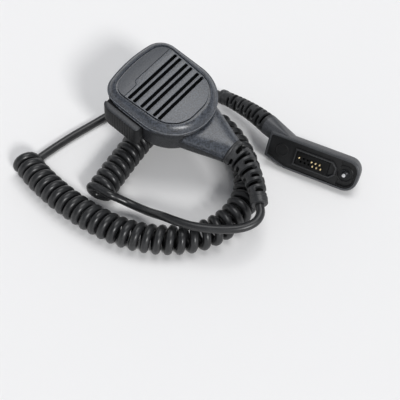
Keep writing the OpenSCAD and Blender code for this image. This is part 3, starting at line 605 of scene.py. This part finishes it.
def plate_split(inset, gap):
    """The panel's outline over and under the name plate's lower edge."""
    outline = shield(0, inset)
    half = len(outline) // 2
    right, left = outline[:half], outline[half:]
    low, high = PLATE_EDGE - PLATE_STEP + gap, PLATE_EDGE + gap
    step = [(x, low + y) for x, y in STEP_FOOT] + [(x, high + y) for x, y in STEP_HEAD]
    edge = [crossing(left, low), *step, crossing(right, high)]
    over = [p for p in right if p[1] > high] + [p for p in left if p[1] > low]
    under = [p for p in left if p[1] < low] + [p for p in right if p[1] < high]
    return edge + over, under + edge[::-1]


# Front shell: a domed skirt round the groove, and the slotted panel inside it.
FRONT_LOW = -5.6
REAR_HIGH = -6.2
PANEL_UNDER = -0.7
PANEL_BACK = -2
GROOVE = 0.9
LIP = 0.8
DOME_START = 0.17
DOME_TOP = -0.05
DOME_FOOT = -3.5
DOME_TILT = (8, 52)
DOME_STEPS = 16
DOME_SHARP = 40
GROOVE_WALL = [(0.6, -1.9), (0.6, -0.95), (-GROOVE + 0.1, -0.9), (-GROOVE, -0.7), (-GROOVE, -0.18),
               (-GROOVE - 0.04, -0.07)]
# A thin lip runs round the foot of the dome, and the edge under it is set back.
DOME_LIP = [(LIP - 0.05, -3.64), (LIP - 0.18, -3.7), (0.26, -3.66), (0.08, -3.72), (0, -3.84), (0, -4.2),
            (0.1, -4.32), (0.6, -4.4), (0.6, FRONT_LOW + 0.1), (0.7, FRONT_LOW), (2, FRONT_LOW)]
DOME_INSIDE = [(0.85, 2, -4.4), (0.5, 1.7, -3.4), (0.2, 1.3, -2.5)]
# A straight brow on the lower edge shades the push-to-talk bar.
BROW = [(-24.8, 22.5), (-26.6, 16), (-27, 11), (-27, -8), (-24.4, -14)]
BROW_TOP = -5


def dome_ring(tilt):
    """The dome's profile is an arc, given by its tilt from the panel's plane."""
    a, first, last = math.radians(tilt), math.radians(DOME_TILT[0]), math.radians(DOME_TILT[1])
    out = (math.sin(a) - math.sin(first)) / (math.sin(last) - math.sin(first))
    down = (math.cos(first) - math.cos(a)) / (math.cos(first) - math.cos(last))
    return ring(lerp(DOME_START, 1, out), LIP * out, lerp(DOME_TOP, DOME_FOOT, down))


skirt = [ring(0, inset, z) for inset, z in GROOVE_WALL]
skirt += [dome_ring(lerp(*DOME_TILT, k / DOME_STEPS)) for k in range(1, DOME_STEPS + 1)]
skirt += [ring(1, inset, z) for inset, z in DOME_LIP]
skirt += [ring(*row) for row in DOME_INSIDE]

# Three pairs of slots; they grow with the panel's width between the ends of its straight flanks.
PAIR_GAP = 8.9
SLOT_GAP = 3.6
SLOT_W = 1.9
SLOT_R = 0.6
SLOT_SHORT = 0.6
FLANK_LOW = -7.5
FLANK_HIGH = 15
SLOT_ROWS = [pair * PAIR_GAP + side * SLOT_GAP / 2 for pair in (1, 0, -1) for side in (1, -1)]


def slots(inset):
    holes = []
    for y in SLOT_ROWS:
        width = lerp(LOW_W[0], TOP_W[0], (y - FLANK_LOW) / (FLANK_HIGH - FLANK_LOW))
        half = width / 2 - SLOT_SHORT - inset
        wide = SLOT_W / 2 - inset
        holes.append(round_rect(-half, y - wide, half, y + wide, SLOT_R, 4))
    return holes


panel = plate_split(0, -0.08)[1]
front = [loft("front_dome", skirt, MIC, loop=True, degrees=DOME_SHARP),
         plate("front_brow", BROW, FRONT_LOW, BROW_TOP, MIC, edge=0.12),
         plate("front_panel", panel, PANEL_UNDER, 0, MIC, slots(0), steps=3),
         plate("plate_seat", plate_split(0.1, -0.3)[0], PANEL_BACK, -0.62, MIC, edge=0.1)]
dress(joined("front_shell_skin", front), case_plastic, "case", ["front_shell"])
# A near-black plate behind the slots: painted shade inside them.
backing = plate("grille_back", panel, PANEL_BACK, PANEL_UNDER, MIC, slots(0.05), edge=0.05)
dress(backing, black_rubber_and_painted_shade, "case", ["front_shell"])
# The name plate is left bare.
name_plate = plate("bare_plate", plate_split(0.12, 0.08)[0], -0.6, 0, MIC, edge=0.16, steps=3)
dress(name_plate, plate_plastic, "case", ["name_plate"])

# Rear shell: a cup under the rim, with the neck grown out of its lower end. Rows are (height, inset).
BACK = -26
REAR_INSIDE = [(-24, 6), (-23.8, 5), (-20, 3.2), (-13, 2.8), (REAR_HIGH, 2.5)]
REAR_OUTSIDE = [(REAR_HIGH, 0.75), (REAR_HIGH - 0.12, 0.58), (REAR_HIGH - 0.4, 0.5), (-10, 0.66), (-15, 0.9),
                (-19, 1.14), (-21, 1.4), (-22.6, 1.85), (-23.8, 2.5), (-24.7, 3.3), (-25.4, 4.3),
                (-25.8, 5.4), (-25.97, 6.6), (BACK, 8)]
NECK_ROOT = -26
NECK_ROOT_TOP = -7.7
NECK_ROOT_LOW = -23
NECK_FLARE = 0.345
NECK_POWER = (3.4, 2)
NECK_SIDES = 64
NECK_ROWS = (-20, -22, -24, -26, -29, -32, -35, -38, -41, -44, -46, -48, -49.6, -50)
NECK_TOP_SLOPE = 0.15
NECK_SHARP = 50
SWIVEL_AT = (0, -2)
BOSS_PROFILE = [(9.2, BACK + 0.5), (10, BACK + 0.4), (10, BACK - 0.5), (9.7, BACK - 0.8), (2.3, BACK - 0.8),
                (2.3, BACK + 0.5)]
PTT_MIDDLE = 9
PTT_LENGTH = 27
PTT_GAP = 0.4
bar_low, bar_high = PTT_MIDDLE - PTT_LENGTH / 2, PTT_MIDDLE + PTT_LENGTH / 2
way_low, way_high = bar_low - PTT_GAP, bar_high + PTT_GAP


def rounder(v, power):
    return math.copysign(abs(v) ** (2 / power), v)


def neck_ring(y):
    """The neck runs from a boxy root to a round end."""
    f = (NECK_ROOT - y) / (NECK_END + NECK_ROOT)
    high = lerp(NECK_ROOT_TOP, NECK_Z + NECK_R, f)
    low = lerp(NECK_ROOT_LOW, NECK_Z - NECK_R, f)
    wide = NECK_R + NECK_FLARE * (y + NECK_END)
    power = lerp(*NECK_POWER, smooth(f))
    return [(wide * rounder(math.cos(a), power), y,
             (high + low) / 2 + (high - low) / 2 * rounder(math.sin(a), power)) for a in angles(NECK_SIDES)]


def is_lit_neck_top(face):
    return face.center.y < NECK_ROOT * MM and face.normal.z > NECK_TOP_SLOPE


rear = loft("rear_cup", [ring(1, inset, z) for z, inset in REAR_INSIDE + REAR_OUTSIDE], MIC)
combine(rear, [loft("neck", [neck_ring(y) for y in NECK_ROWS], MIC)], "UNION")
ways = [box_piece("way_a", (-40, way_low, -21.4), (-22.3, way_high, -4), MIC),
        box_piece("way_b", (-23.9, way_low, -23.2), (-18.7, 22, -4), MIC)]
combine(rear, ways, "DIFFERENCE")
clip_boss = lathe("clip_boss", BOSS_PROFILE, MIC, at=SWIVEL_AT, sides=64)
# The neck's upward faces keep the case plastic and the rest of the rear shell takes its darker copy: painted
# light on the top, painted shade on the flanks.
rear_shell, lit_neck_top = parted(joined("rear_shell_skin", [rear, clip_boss]), "lit_neck_top",
                              is_lit_neck_top, NECK_SHARP)
dress(rear_shell, rear_painted_shade_plastic, "case", ["rear_shell"])
dress(lit_neck_top, case_plastic, "case", ["rear_shell"])

# Push-to-talk bar: a rounded bar with faint flutes on its outer face. Layers are (height, inset).
PTT_FACE = -31.2
PTT_DEPTH = 3.8
BAR_INNER = -23.3
BAR_TAPER = (3.2, 7)
BAR_END_R = 2.5
BAR_FLUTES = 9
FLUTE_STEPS = 72
FLUTE_DEPTH = 0.16
CAP_LAYERS = [(-22.7, 0.7), (-22.62, 0.35), (-22.4, 0.1), (-22, 0), (-15, 0), (-8.2, 0), (-7.6, 0.06),
              (-7.2, 0.2), (-6.95, 0.45), (-6.82, 0.8), (-6.72, 1.4), (-6.7, 2.0)]
POST_PROFILE = [(0.5, 0), (2.5, 0.1), (2.5, 1.4), (2.3, 1.6), (0.4, 1.6)]
POST_Z = -12.65
PTT_TOP_Z = -7.2
PTT_TOP_SLOPE = 0.6
PTT_SHARP = 40


def bar_outline(inner, inset):
    face, low, high = PTT_FACE + inset, bar_low + inset, bar_high - inset
    room = inner - face - 0.2
    r = min(BAR_END_R, room)
    wide, run = min(BAR_TAPER[0], room), BAR_TAPER[1]
    taper = [(face + wide * (1 + x), high + run * (y - 1)) for x, y in arc((0, 0), 1, 90, 180, 12)]
    fluted = []
    for i in range(1, FLUTE_STEPS):
        dip = FLUTE_DEPTH * (1 - abs(math.sin(math.pi * BAR_FLUTES * i / FLUTE_STEPS)))
        fluted.append((face + dip, lerp(high - run - 0.1, low + r + 0.1, i / FLUTE_STEPS)))
    corner = arc((face + r, low + r), r, 180, 270, 8)
    return ([(inner, low), (inner, high)] + taper + fluted + corner)[::-1]


def bar_ring(inner, z, inset):
    return [(x, y, z) for x, y in bar_outline(inner, inset)]


def is_lit_bar_top(face):
    return face.normal.z > PTT_TOP_SLOPE and face.center.z > PTT_TOP_Z * MM


post_place = MIC @ Matrix.Translation(Vector((BAR_INNER, PTT_MIDDLE, POST_Z)) * MM) @ turn(90, "Y")
ptt = [loft("ptt_cap", [bar_ring(PTT_FACE + PTT_DEPTH, z, inset) for z, inset in CAP_LAYERS], MIC),
       plate("ptt_bar", bar_outline(BAR_INNER, 0.6), -20.9, -7.5, MIC, edge=0.4, steps=3),
       box_piece("ptt_flange", (-23.7, bar_low, -22.7), (-22.5, bar_high - 1.2, -7.3), MIC, 0.2),
       lathe("ptt_post", POST_PROFILE, post_place)]
# The bar's upward faces take the lighter trim plastic and the outer face the darker one: painted light on the
# top, painted shade on the face.
ptt_bar, lit_ptt_top = parted(joined("ptt_bar_skin", ptt), "lit_ptt_top", is_lit_bar_top, PTT_SHARP)
dress(ptt_bar, bar_painted_shade_plastic, "button", ["ptt_button"])
dress(lit_ptt_top, trim_plastic, "button", ["ptt_button"])

# Strain reliefs: a tapering sleeve with two windows at a level, turned by a quarter at the next level.
RELIEF_SIDES = 96
RELIEF_ROW = 0.22
RELIEF_SHARP = 60
LINE_STEPS = 400
SEAM_AT = 1.2
SEAM_HALF = 0.35
SEAM_DEPTH = 0.35
SEAM_SLOPE = 0.25
COLLAR_RISE = 0.4
COLLAR_SLOPE = 0.4
END_ROUND = (0.45, 0.15)
WINDOW_SLOPE = 0.3
WINDOW_DEPTH = 3
WINDOW_PART = 0.45
CORE_R = 2.7
TIP_R = 4.4


def relief(name, line, from_r, first, spacing, count, width, reach, phase, collar):
    """First and spacing place the windows along the sleeve; reach and phase are degrees round it."""
    last = len(line) - 1
    fine = [curve_point(line, i * last / LINE_STEPS) for i in range(LINE_STEPS + 1)]
    run = [0.0]
    for a, b in zip(fine, fine[1:]):
        run.append(run[-1] + (b - a).length)
    rows = round(run[-1] / RELIEF_ROW)
    rings, holes, j = [], [], 0
    for i in range(rows + 1):
        d = run[-1] * i / rows
        while j < LINE_STEPS - 1 and run[j + 1] < d:
            j += 1
        t = (j + (d - run[j]) / (run[j + 1] - run[j])) * last / LINE_STEPS
        at, h = curve_point(line, min(t, last)), curve_heading(line, min(t, last))
        side = UP.cross(h).normalized()
        up = h.cross(side)
        r = lerp(from_r, TIP_R, d / run[-1])
        level = round((d - first) / spacing)
        off = abs(d - first - level * spacing)
        seam = SEAM_DEPTH * smooth((SEAM_HALF - abs(d - SEAM_AT)) / SEAM_SLOPE)
        swell = COLLAR_RISE * smooth((d - run[-1] + collar) / COLLAR_SLOPE)
        from_end = min(i, rows - i)
        end = END_ROUND[from_end] if from_end < len(END_ROUND) else 0.0
        row = []
        for a in angles(RELIEF_SIDES):
            turned = math.degrees(a) - phase - 90 * (level % 2)
            away = math.radians(abs((turned + 90) % 180 - 90)) * r
            past = max(0.0, away - math.radians(reach) * r + width / 2)
            hole = smooth((width / 2 - math.hypot(past, off)) / WINDOW_SLOPE) if 0 <= level < count else 0.0
            rr = r + swell - seam - end - hole * min(WINDOW_DEPTH, r - CORE_R)
            row.append(at + rr * (math.cos(a) * side + math.sin(a) * up))
            holes.append(hole)
        rings.append(row)
    sleeve = loft(name, rings, FLOOR, degrees=RELIEF_SHARP)
    # The window floors become a piece of their own, which is painted near black as shade.
    return parted(sleeve, name + "_windows",
                  lambda face: min(holes[v] for v in face.vertices) > WINDOW_PART, RELIEF_SHARP)


# Both sleeves' window floors are painted near black: painted shade.
mic_boot, mic_windows = relief("mic_relief", mic_boot_line, NECK_R, first=4.6, spacing=4.6, count=7,
                               width=2.9, reach=74, phase=45, collar=4.2)
dress(mic_boot, boot_rubber, "case", ["mic_boot"])
dress(mic_windows, black_rubber_and_painted_shade, "case", ["mic_boot"])
plug_boot, plug_windows = relief("plug_relief", plug_boot_line, PLUG_NECK_R, first=3.4, spacing=3.5, count=10,
                                 width=2.3, reach=72, phase=80, collar=3.6)
dress(plug_boot, boot_rubber, "case", ["plug_boot"])
dress(plug_windows, black_rubber_and_painted_shade, "case", ["plug_boot"])

# Plug housing: a rounded body with a shoulder that carries the strain relief. Layers are (height, inset).
PLUG_LEFT = -14
PLUG_RIGHT = 45
PLUG_W = 20.4
PLUG_END_R = 8
PLUG_CORNER = 1.2
PLUG_SLANT = 4
PLUG_SHARP = 30
SCREW_AT = (36.3, 0)
BLOCK_AT = 16.2
PLUG_LAYERS = [(0, 0.9), (-0.1, 0.6), (-0.35, 0.25), (-0.8, 0.04), (-1.2, 0), (-4, 0), (-6.2, 0.02),
               (-7.5, 0.32), (-8.8, 0.95), (-10, 1.7), (-11, 2.6), (-11.7, 3.5), (-12.1, 4.6), (-12.2, 5.6)]


def plug_outline(inset):
    half, r = PLUG_W / 2 - inset, PLUG_END_R - inset
    x, y = PLUG_RIGHT - PLUG_END_R, PLUG_W / 2 - PLUG_END_R
    left = PLUG_LEFT + inset
    points = arc((x, -y), r, -90, 0, 14) + arc((x, y), r, 0, 90, 14)
    points += [(lerp(x, left + PLUG_CORNER, i / 12), half) for i in range(1, 12)]
    points += arc((left + PLUG_CORNER, half - PLUG_CORNER), PLUG_CORNER, 90, 180, 4)
    points += [(left, PLUG_SLANT - half)]
    points += [(lerp(left, 0, i / 4), lerp(PLUG_SLANT - half, -half, i / 4)) for i in range(1, 5)]
    return points + [(lerp(0, x, i / 9), -half) for i in range(1, 9)]


def plug_ring(z, inset):
    return [(x, y, z) for x, y in plug_outline(inset)]


def plug_neck():
    """The circle, in the plug's frame, at which the strain relief starts."""
    start = plug_boot_line[0]
    heading = (plug_boot_line[1] - start).normalized()
    across = UP.cross(heading).normalized()
    upward = heading.cross(across)
    to_plug = PLUG_TURN.inverted()
    return [to_plug @ (start + PLUG_NECK_R * (math.cos(a) * across + math.sin(a) * upward) - PLUG_AT)
            for a in angles(48)]


plug_body = loft("plug_body", [plug_ring(z, inset) for z, inset in PLUG_LAYERS], PLUG)
shoulder_points = [Vector((x, y, z)) for z, inset in PLUG_LAYERS[3:12]
                   for x, y in plug_outline(inset + 0.5) if x < 1 and y > -1.5]
shoulder_points += [Vector((1, y, z)) for y in (-1, PLUG_W / 2 - 1.2) for z in (-2, -9)]
shoulder = hull_piece("plug_shoulder", plug_neck() + shoulder_points, PLUG, PLUG_SHARP)
combine(plug_body, [shoulder], "UNION", PLUG_SHARP)

# The face is sunk inside a border, and sunk further round the screw.
FACE_SUNK = 0.8
POCKET_FROM = 32
POCKET_Z = -2.2
BORDER = 1.3
RING_AT = (-4, 0.8)
RING_PROFILE = [(3.3, -0.9), (3.3, -0.62), (3.4, -0.44), (3.6, -0.38), (3.85, -0.4), (4, -0.52), (4, -0.9)]
SCREW_LIP = [(4.58, -2.5), (4.58, -1.68), (4.7, -1.6), (4.95, -1.6), (5.1, -1.7), (5.1, -2.3)]


def peg(name, r, low, high):
    return lathe(name, [(r, low), (r, high)], PLUG, at=SCREW_AT)


def block_box(name, half_x, half_y, low, high):
    return box_piece(name, (BLOCK_AT - half_x, -half_y, low), (BLOCK_AT + half_x, half_y, high), PLUG)


def block_rect(half_x, half_y, r):
    return round_rect(BLOCK_AT - half_x, -half_y, BLOCK_AT + half_x, half_y, r)


def within_border(face):
    """Whether a face lies on the sunk face or its walls."""
    at = face.center / MM
    core = Vector((max(at.x - PLUG_RIGHT + PLUG_END_R, 0), max(abs(at.y) - PLUG_W / 2 + PLUG_END_R, 0)))
    return -3 < at.z < -0.3 and at.x > PLUG_LEFT + BORDER and core.length < PLUG_END_R - BORDER


end_pocket = [[(x, y, z) for x, y in plug_outline(inset) if x > POCKET_FROM]
              for z, inset in ((POCKET_Z, 2.6), (1, 2.2))]
cuts = [block_box("cut_block", 10.35, 4.2, -4, 1),
        block_box("cut_space", 12.5, 5, -13, -3),
        block_box("cut_lid", 13.3, 5.8, -13, -10.4),
        loft("cut_face", [plug_ring(-FACE_SUNK, 1.8), plug_ring(1, 1.4)], PLUG),
        loft("cut_end", end_pocket, PLUG),
        peg("cut_recess", 4.6, -2.5, 1),
        peg("cut_bore", 1.88, -9, 1),
        peg("cut_knob", 5.6, -13, -6.5)]
combine(plug_body, cuts, "DIFFERENCE", PLUG_SHARP)
ring_boss = lathe("ring_boss", RING_PROFILE, PLUG, at=RING_AT, sides=64)
screw_lip = lathe("screw_lip", SCREW_LIP, PLUG, at=SCREW_AT, sides=64)
# The sunk face and its walls take a darker plastic than the housing: painted shade.
plug_housing, plug_floor = parted(joined("plug_skin", [plug_body, ring_boss, screw_lip]), "plug_floor",
                                  within_border, PLUG_SHARP)
dress(plug_housing, plug_plastic, "case", ["plug_housing"])
dress(plug_floor, plug_face_painted_shade, "case", ["plug_housing"])

# Contact block, its gasket, the pins and the lid.
PIN_START = 8
PIN_PITCH = 2.6
PIN_ROW_SHIFT = 1.2
PIN_ROW_GAP = 2.4
PIN_DROP = 0.3
PIN_COLUMNS = 6
PIN_HOLE_R = 0.71
PIN_PROFILE = [(0.3, -4), (0.55, -3.95), (0.58, 1.75), (0.53, 1.98), (0.4, 2.14), (0.2, 2.2)]
# Columns and rows that hold a gold pin; the other places stay empty.
LIVE = [(0, 0), (3, 0), (4, 0), (5, 0), (3, 1), (4, 1), (5, 1)]
GASKET_CUT = 3
GASKET_W = 0.8


def pin_at(column, row):
    x = PIN_START + column * PIN_PITCH + row * PIN_ROW_SHIFT
    return (x, PIN_ROW_GAP / 2 - row * PIN_ROW_GAP - PIN_DROP)


def gasket_outline(grow):
    """A rectangle with two cut corners at the screw's end."""
    left, right = BLOCK_AT - 11.65 - grow, BLOCK_AT + 14.85 + grow
    half = 5.2 + grow
    cut = GASKET_CUT + grow * (2 - math.sqrt(2))
    return [(left, -half), (right - cut, -half), (right, cut - half),
            (right, half - cut), (right - cut, half), (left, half)]


pin_holes = [circle(pin_at(column, row), PIN_HOLE_R, 16) for column in range(PIN_COLUMNS) for row in (0, 1)]
block_hole = block_rect(10.1, 3.9, 0.5)
block_parts = [plate("block_front", block_rect(10.25, 4.1, 0.6), -4.5, 1, PLUG, pin_holes, edge=0.14),
               plate("block_flange", block_rect(10.95, 4.8, 0.6), -4.5, -3, PLUG, [block_hole], edge=0.1)]
contact_block = joined("contact_block_skin", block_parts)
dress(contact_block, plug_inner, "case", ["contact_block"])
plug_gasket = plate("plug_gasket_skin", gasket_outline(0), -0.85, 0.9, PLUG, [gasket_outline(-GASKET_W)],
                    edge=0.25, steps=3)
dress(plug_gasket, boot_rubber, "case", ["plug_gasket"])
pins = [lathe("pin_%d_%d" % place, PIN_PROFILE, PLUG, at=pin_at(*place), sides=24) for place in LIVE]
contact_pins = dress(joined("contact_pin_set", pins), gold, "contacts", ["contact_pins"])
lid = plate("plug_lid_skin", block_rect(13.2, 5.7, 0.5), -11.6, -10.4, PLUG)
dress(lid, plug_plastic, "case", ["plug_lid"])

# Thumb screw: a fluted knob, a plain shank, a thread painted dark as shade and a tip painted bright as a
# highlight. Profiles are (radius, height).
KNOB_TOP = -7.6
KNOB_FLUTES = 16
KNOB_FLUTE = 0.22
SHANK_R = 1.8
THREAD_R = (1.5, 1.22)
THREAD_FROM = -1.45
THREAD_STEP = 0.22
KNOB_PROFILE = [(0.6, KNOB_TOP - 4.2), (4.4, KNOB_TOP - 4.2), (4.8, KNOB_TOP - 4.05), (5, KNOB_TOP - 3.7),
                (5, KNOB_TOP - 0.4), (4.8, KNOB_TOP - 0.1), (4.5, KNOB_TOP)]
SHANK_PROFILE = [(SHANK_R, KNOB_TOP), (SHANK_R, -1.7), (1.6, -1.5)]
THREAD_PROFILE = [(THREAD_R[i % 2], THREAD_FROM + THREAD_STEP * i) for i in range(13)]
THREAD_PROFILE += [(1.16, 1.25), (0.3, 1.25)]
TIP_PROFILE = [(0.4, 1), (1.05, 1), (1.1, 1.42), (0.95, 1.6), (0.6, 1.68), (0.2, 1.7)]
RETAINER_PROFILE = [(1.86, -2.3), (2.7, -2.3), (2.8, -2.2), (2.8, -1.8), (2.7, -1.7), (1.86, -1.7)]


def knob_flutes(a, r, z):
    on_knob = r > 4 and z < KNOB_TOP + 0.01
    return KNOB_FLUTE * (0.5 + 0.5 * math.cos(KNOB_FLUTES * a)) ** 3 if on_knob else 0.0


thumb_screw = lathe("thumb_screw_skin", KNOB_PROFILE + SHANK_PROFILE + THREAD_PROFILE, PLUG, at=SCREW_AT,
                    sides=128, wave=knob_flutes)
coin_slot = box_piece("coin_slot", (SCREW_AT[0] - 6, -0.7, KNOB_TOP - 5),
                      (SCREW_AT[0] + 6, 0.7, KNOB_TOP - 3), PLUG)
combine(thumb_screw, [coin_slot], "DIFFERENCE")
dress(thumb_screw, steel_painted_shade, "screw", ["thumb_screw"])
screw_tip = lathe("thumb_screw_tip", TIP_PROFILE, PLUG, at=SCREW_AT)
dress(screw_tip, steel_painted_highlight, "screw", ["thumb_screw"])
# The retaining ring's dark steel is painted shade too.
retaining_ring = lathe("retaining_ring_skin", RETAINER_PROFILE, PLUG, at=SCREW_AT, loop=True)
dress(retaining_ring, steel_painted_shade, "screw_carrier", ["retaining_ring"])

# Clip: a plate on the swivel screw, and a sprung lever on a pin between its ears.
CLIP_TOP = -27.0
CLIP_HALF = 6.8
CLIP_END = -19
CLIP_ROUND = 0.3
SWIVEL_R = 2.06
DISC_R = 9
HINGE = (4.2, -32.1)
EAR_R = 2.4
EAR_T = 1.5
EAR_HOLE_R = 1.29
EAR_FOOT = CLIP_UNDER + 0.5
LEVER_TOP = -35.1
LEVER_UNDER = -36.6
LEVER_HALF = 5
LEVER_FOOT = LEVER_TOP - 0.4
HUB_HOLE_R = 1.32
HUB_INNER = 2.8
JAW_TEETH = [(CLIP_END, LEVER_FOOT), (-16.5, LEVER_FOOT), (-16.5, -29), (-16.8, -28.8), (-17.1, -29.2),
             (-17.6, -28.8), (-18, -29.2), (-18.4, -28.8), (-18.8, -29), (CLIP_END, -29.4)]
GRIPS = 4
GRIP_FROM = 9.6
GRIP_PITCH = 1.5
SPRING_R = 1.95
SPRING_WIRE_R = 0.4
SPRING_LENGTH = 4.2
SPRING_TURNS = 4
SPRING_STEPS = 96


def hinge_plate(name, outline, x0, x1, holes=(), edge=0.2):
    """A plate in the clip's side view, given as (y, z) points."""
    side = MIC @ Matrix(((0, 0, 1, 0), (1, 0, 0, 0), (0, 1, 0, 0), (0, 0, 0, 1)))
    return plate(name, outline, x0, x1, side, holes, edge)


def grip_bar(y):
    return [(y - 0.4, LEVER_UNDER - 0.25), (y + 0.4, LEVER_UNDER - 0.25), (y + 0.55, LEVER_UNDER + 0.2),
            (y - 0.55, LEVER_UNDER + 0.2)]


base_outline = round_rect(-CLIP_HALF, CLIP_END, CLIP_HALF, HINGE[0] + 3, 2, 8)
disc_outline = circle(SWIVEL_AT, DISC_R, 96)
swivel_hole = circle(SWIVEL_AT, SWIVEL_R, 48)
base_parts = [plate(name, outline, CLIP_UNDER, CLIP_TOP, MIC, [swivel_hole], CLIP_ROUND, 3)
              for name, outline in (("clip_plate", base_outline), ("clip_disc", disc_outline))]
ear = arc(HINGE, EAR_R, 180, 360, 16) + [(HINGE[0] + EAR_R, EAR_FOOT), (HINGE[0] - EAR_R, EAR_FOOT)]
for x in (-CLIP_HALF, CLIP_HALF - EAR_T):
    base_parts.append(hinge_plate("ear", ear, x, x + EAR_T, [circle(HINGE, EAR_HOLE_R)]))
dress(joined("clip_plate_skin", base_parts), trim_plastic, "clip", ["clip_base"])

lever_outline = round_rect(-LEVER_HALF, CLIP_END, LEVER_HALF, 11, 2, 8)
lever_parts = [plate("lever_plate", lever_outline, LEVER_UNDER, LEVER_TOP, MIC, edge=0.35, steps=3),
               hinge_plate("jaw", JAW_TEETH, -LEVER_HALF, LEVER_HALF, edge=0.15)]
hub = [(HINGE[0] - 1.8, LEVER_FOOT), (HINGE[0] + 1.8, LEVER_FOOT)] + arc(HINGE, EAR_R, 0, 180, 16)
for x0, x1 in ((-LEVER_HALF, -HUB_INNER), (HUB_INNER, LEVER_HALF)):
    lever_parts.append(hinge_plate("hub", hub, x0, x1, [circle(HINGE, HUB_HOLE_R)]))
for i in range(GRIPS):
    lever_parts.append(hinge_plate("grip", grip_bar(GRIP_FROM - GRIP_PITCH * i), -4, 4, edge=0.12))
dress(joined("clip_lever_skin", lever_parts), trim_plastic, "jaw", ["clip_lever"])

spring_line = []
for i in range(SPRING_STEPS + 1):
    a = i * math.pi / (SPRING_STEPS / SPRING_TURNS / 2)
    spring_line.append(mic_point(SPRING_LENGTH * (i / SPRING_STEPS - 0.5), HINGE[0] + SPRING_R * math.cos(a),
                                 HINGE[1] + SPRING_R * math.sin(a)))
spring = curve_piece("clip_spring_wire", spring_line, SPRING_WIRE_R, 2)
dress(spring, steel, "clip", ["clip_spring"])

# Nodes that stay as they are get materials with the same detail.
# The capsule is painted dark and not metal: painted shade inside the case.
NODE_MATERIALS = {
    "dust_screen": felt, "speaker_felt": felt, "shell_gasket": boot_rubber, "capsule_boot": black_rubber_and_painted_shade,
    "case_screws": steel, "clip_screw": steel, "clip_pin": steel, "speaker_frame": steel,
    "speaker_cone": paper, "speaker_magnet": iron, "mic_capsule": capsule_metal, "circuit_board": board,
    "plug_board": board, "board_connector": ivory, "switch_plunger": ivory, "switch_body": plug_inner,
    "cable_tail": cord_jacket,
}
for node, material in NODE_MATERIALS.items():
    paint(nodes[node], material)

# Plain pale floor in metres, flat under the part and rising far off, so that it fills the low views too.
FLOOR_RINGS = [(0, 0), (0.7, 0), (0.9, 0.01), (1.2, 0.05), (1.6, 0.13), (2.2, 0.31), (3, 0.62), (4.2, 1.15),
               (5.4, 1.9)]
FLOOR_SIDES = 64
FLOOR_COLOUR = (0.86, 0.855, 0.85, 1)
FLOOR_ROUGH = 0.8
WORLD_COLOUR = (0.9, 0.93, 1.0, 1)
WORLD_STRENGTH = 0.3


def floor_dish():
    points, faces = [], []
    for i, (reach, rise) in enumerate(FLOOR_RINGS):
        first = len(points)
        for a in angles(FLOOR_SIDES) if reach else [0]:
            points.append((reach * math.cos(a), reach * math.sin(a), rise - ORIGIN.z * MM))
        for side in range(FLOOR_SIDES if i else 0):
            after = (side + 1) % FLOOR_SIDES
            inner = [0] if i == 1 else [first - FLOOR_SIDES + after, first - FLOOR_SIDES + side]
            faces.append([first + side, first + after] + inner)
    mesh = bpy.data.meshes.new("floor")
    mesh.from_pydata(points, [], faces)
    mesh.shade_smooth()
    return keep(bpy.data.objects.new("floor", mesh))


def lamp(name, at, angle, strength):
    """A wide far lamp, so that the floor is as bright far off as near the part."""
    data = bpy.data.lights.new(name, "SUN")
    data.angle = math.radians(angle)
    data.energy = strength
    o = keep(bpy.data.objects.new(name, data))
    o.location = Vector(at) * MM
    look_along(o, -Vector(at))


floor = floor_dish()
floor_material = bpy.data.materials.new("floor")
floor_material.use_nodes = True
floor_shader = floor_material.node_tree.nodes["Principled BSDF"]
floor_shader.inputs["Base Color"].default_value = FLOOR_COLOUR
floor_shader.inputs["Roughness"].default_value = FLOOR_ROUGH
paint(floor, floor_material)

world = bpy.data.worlds.new("world")
scene.world = world
world.use_nodes = True
sky = world.node_tree.nodes["Background"]
sky.inputs["Color"].default_value = WORLD_COLOUR
sky.inputs["Strength"].default_value = WORLD_STRENGTH
lamp("key", (-215, -500, 370), 11, 1.8)
lamp("top", (180, 0, 620), 40, 1.25)

scene.view_settings.view_transform = "Standard"
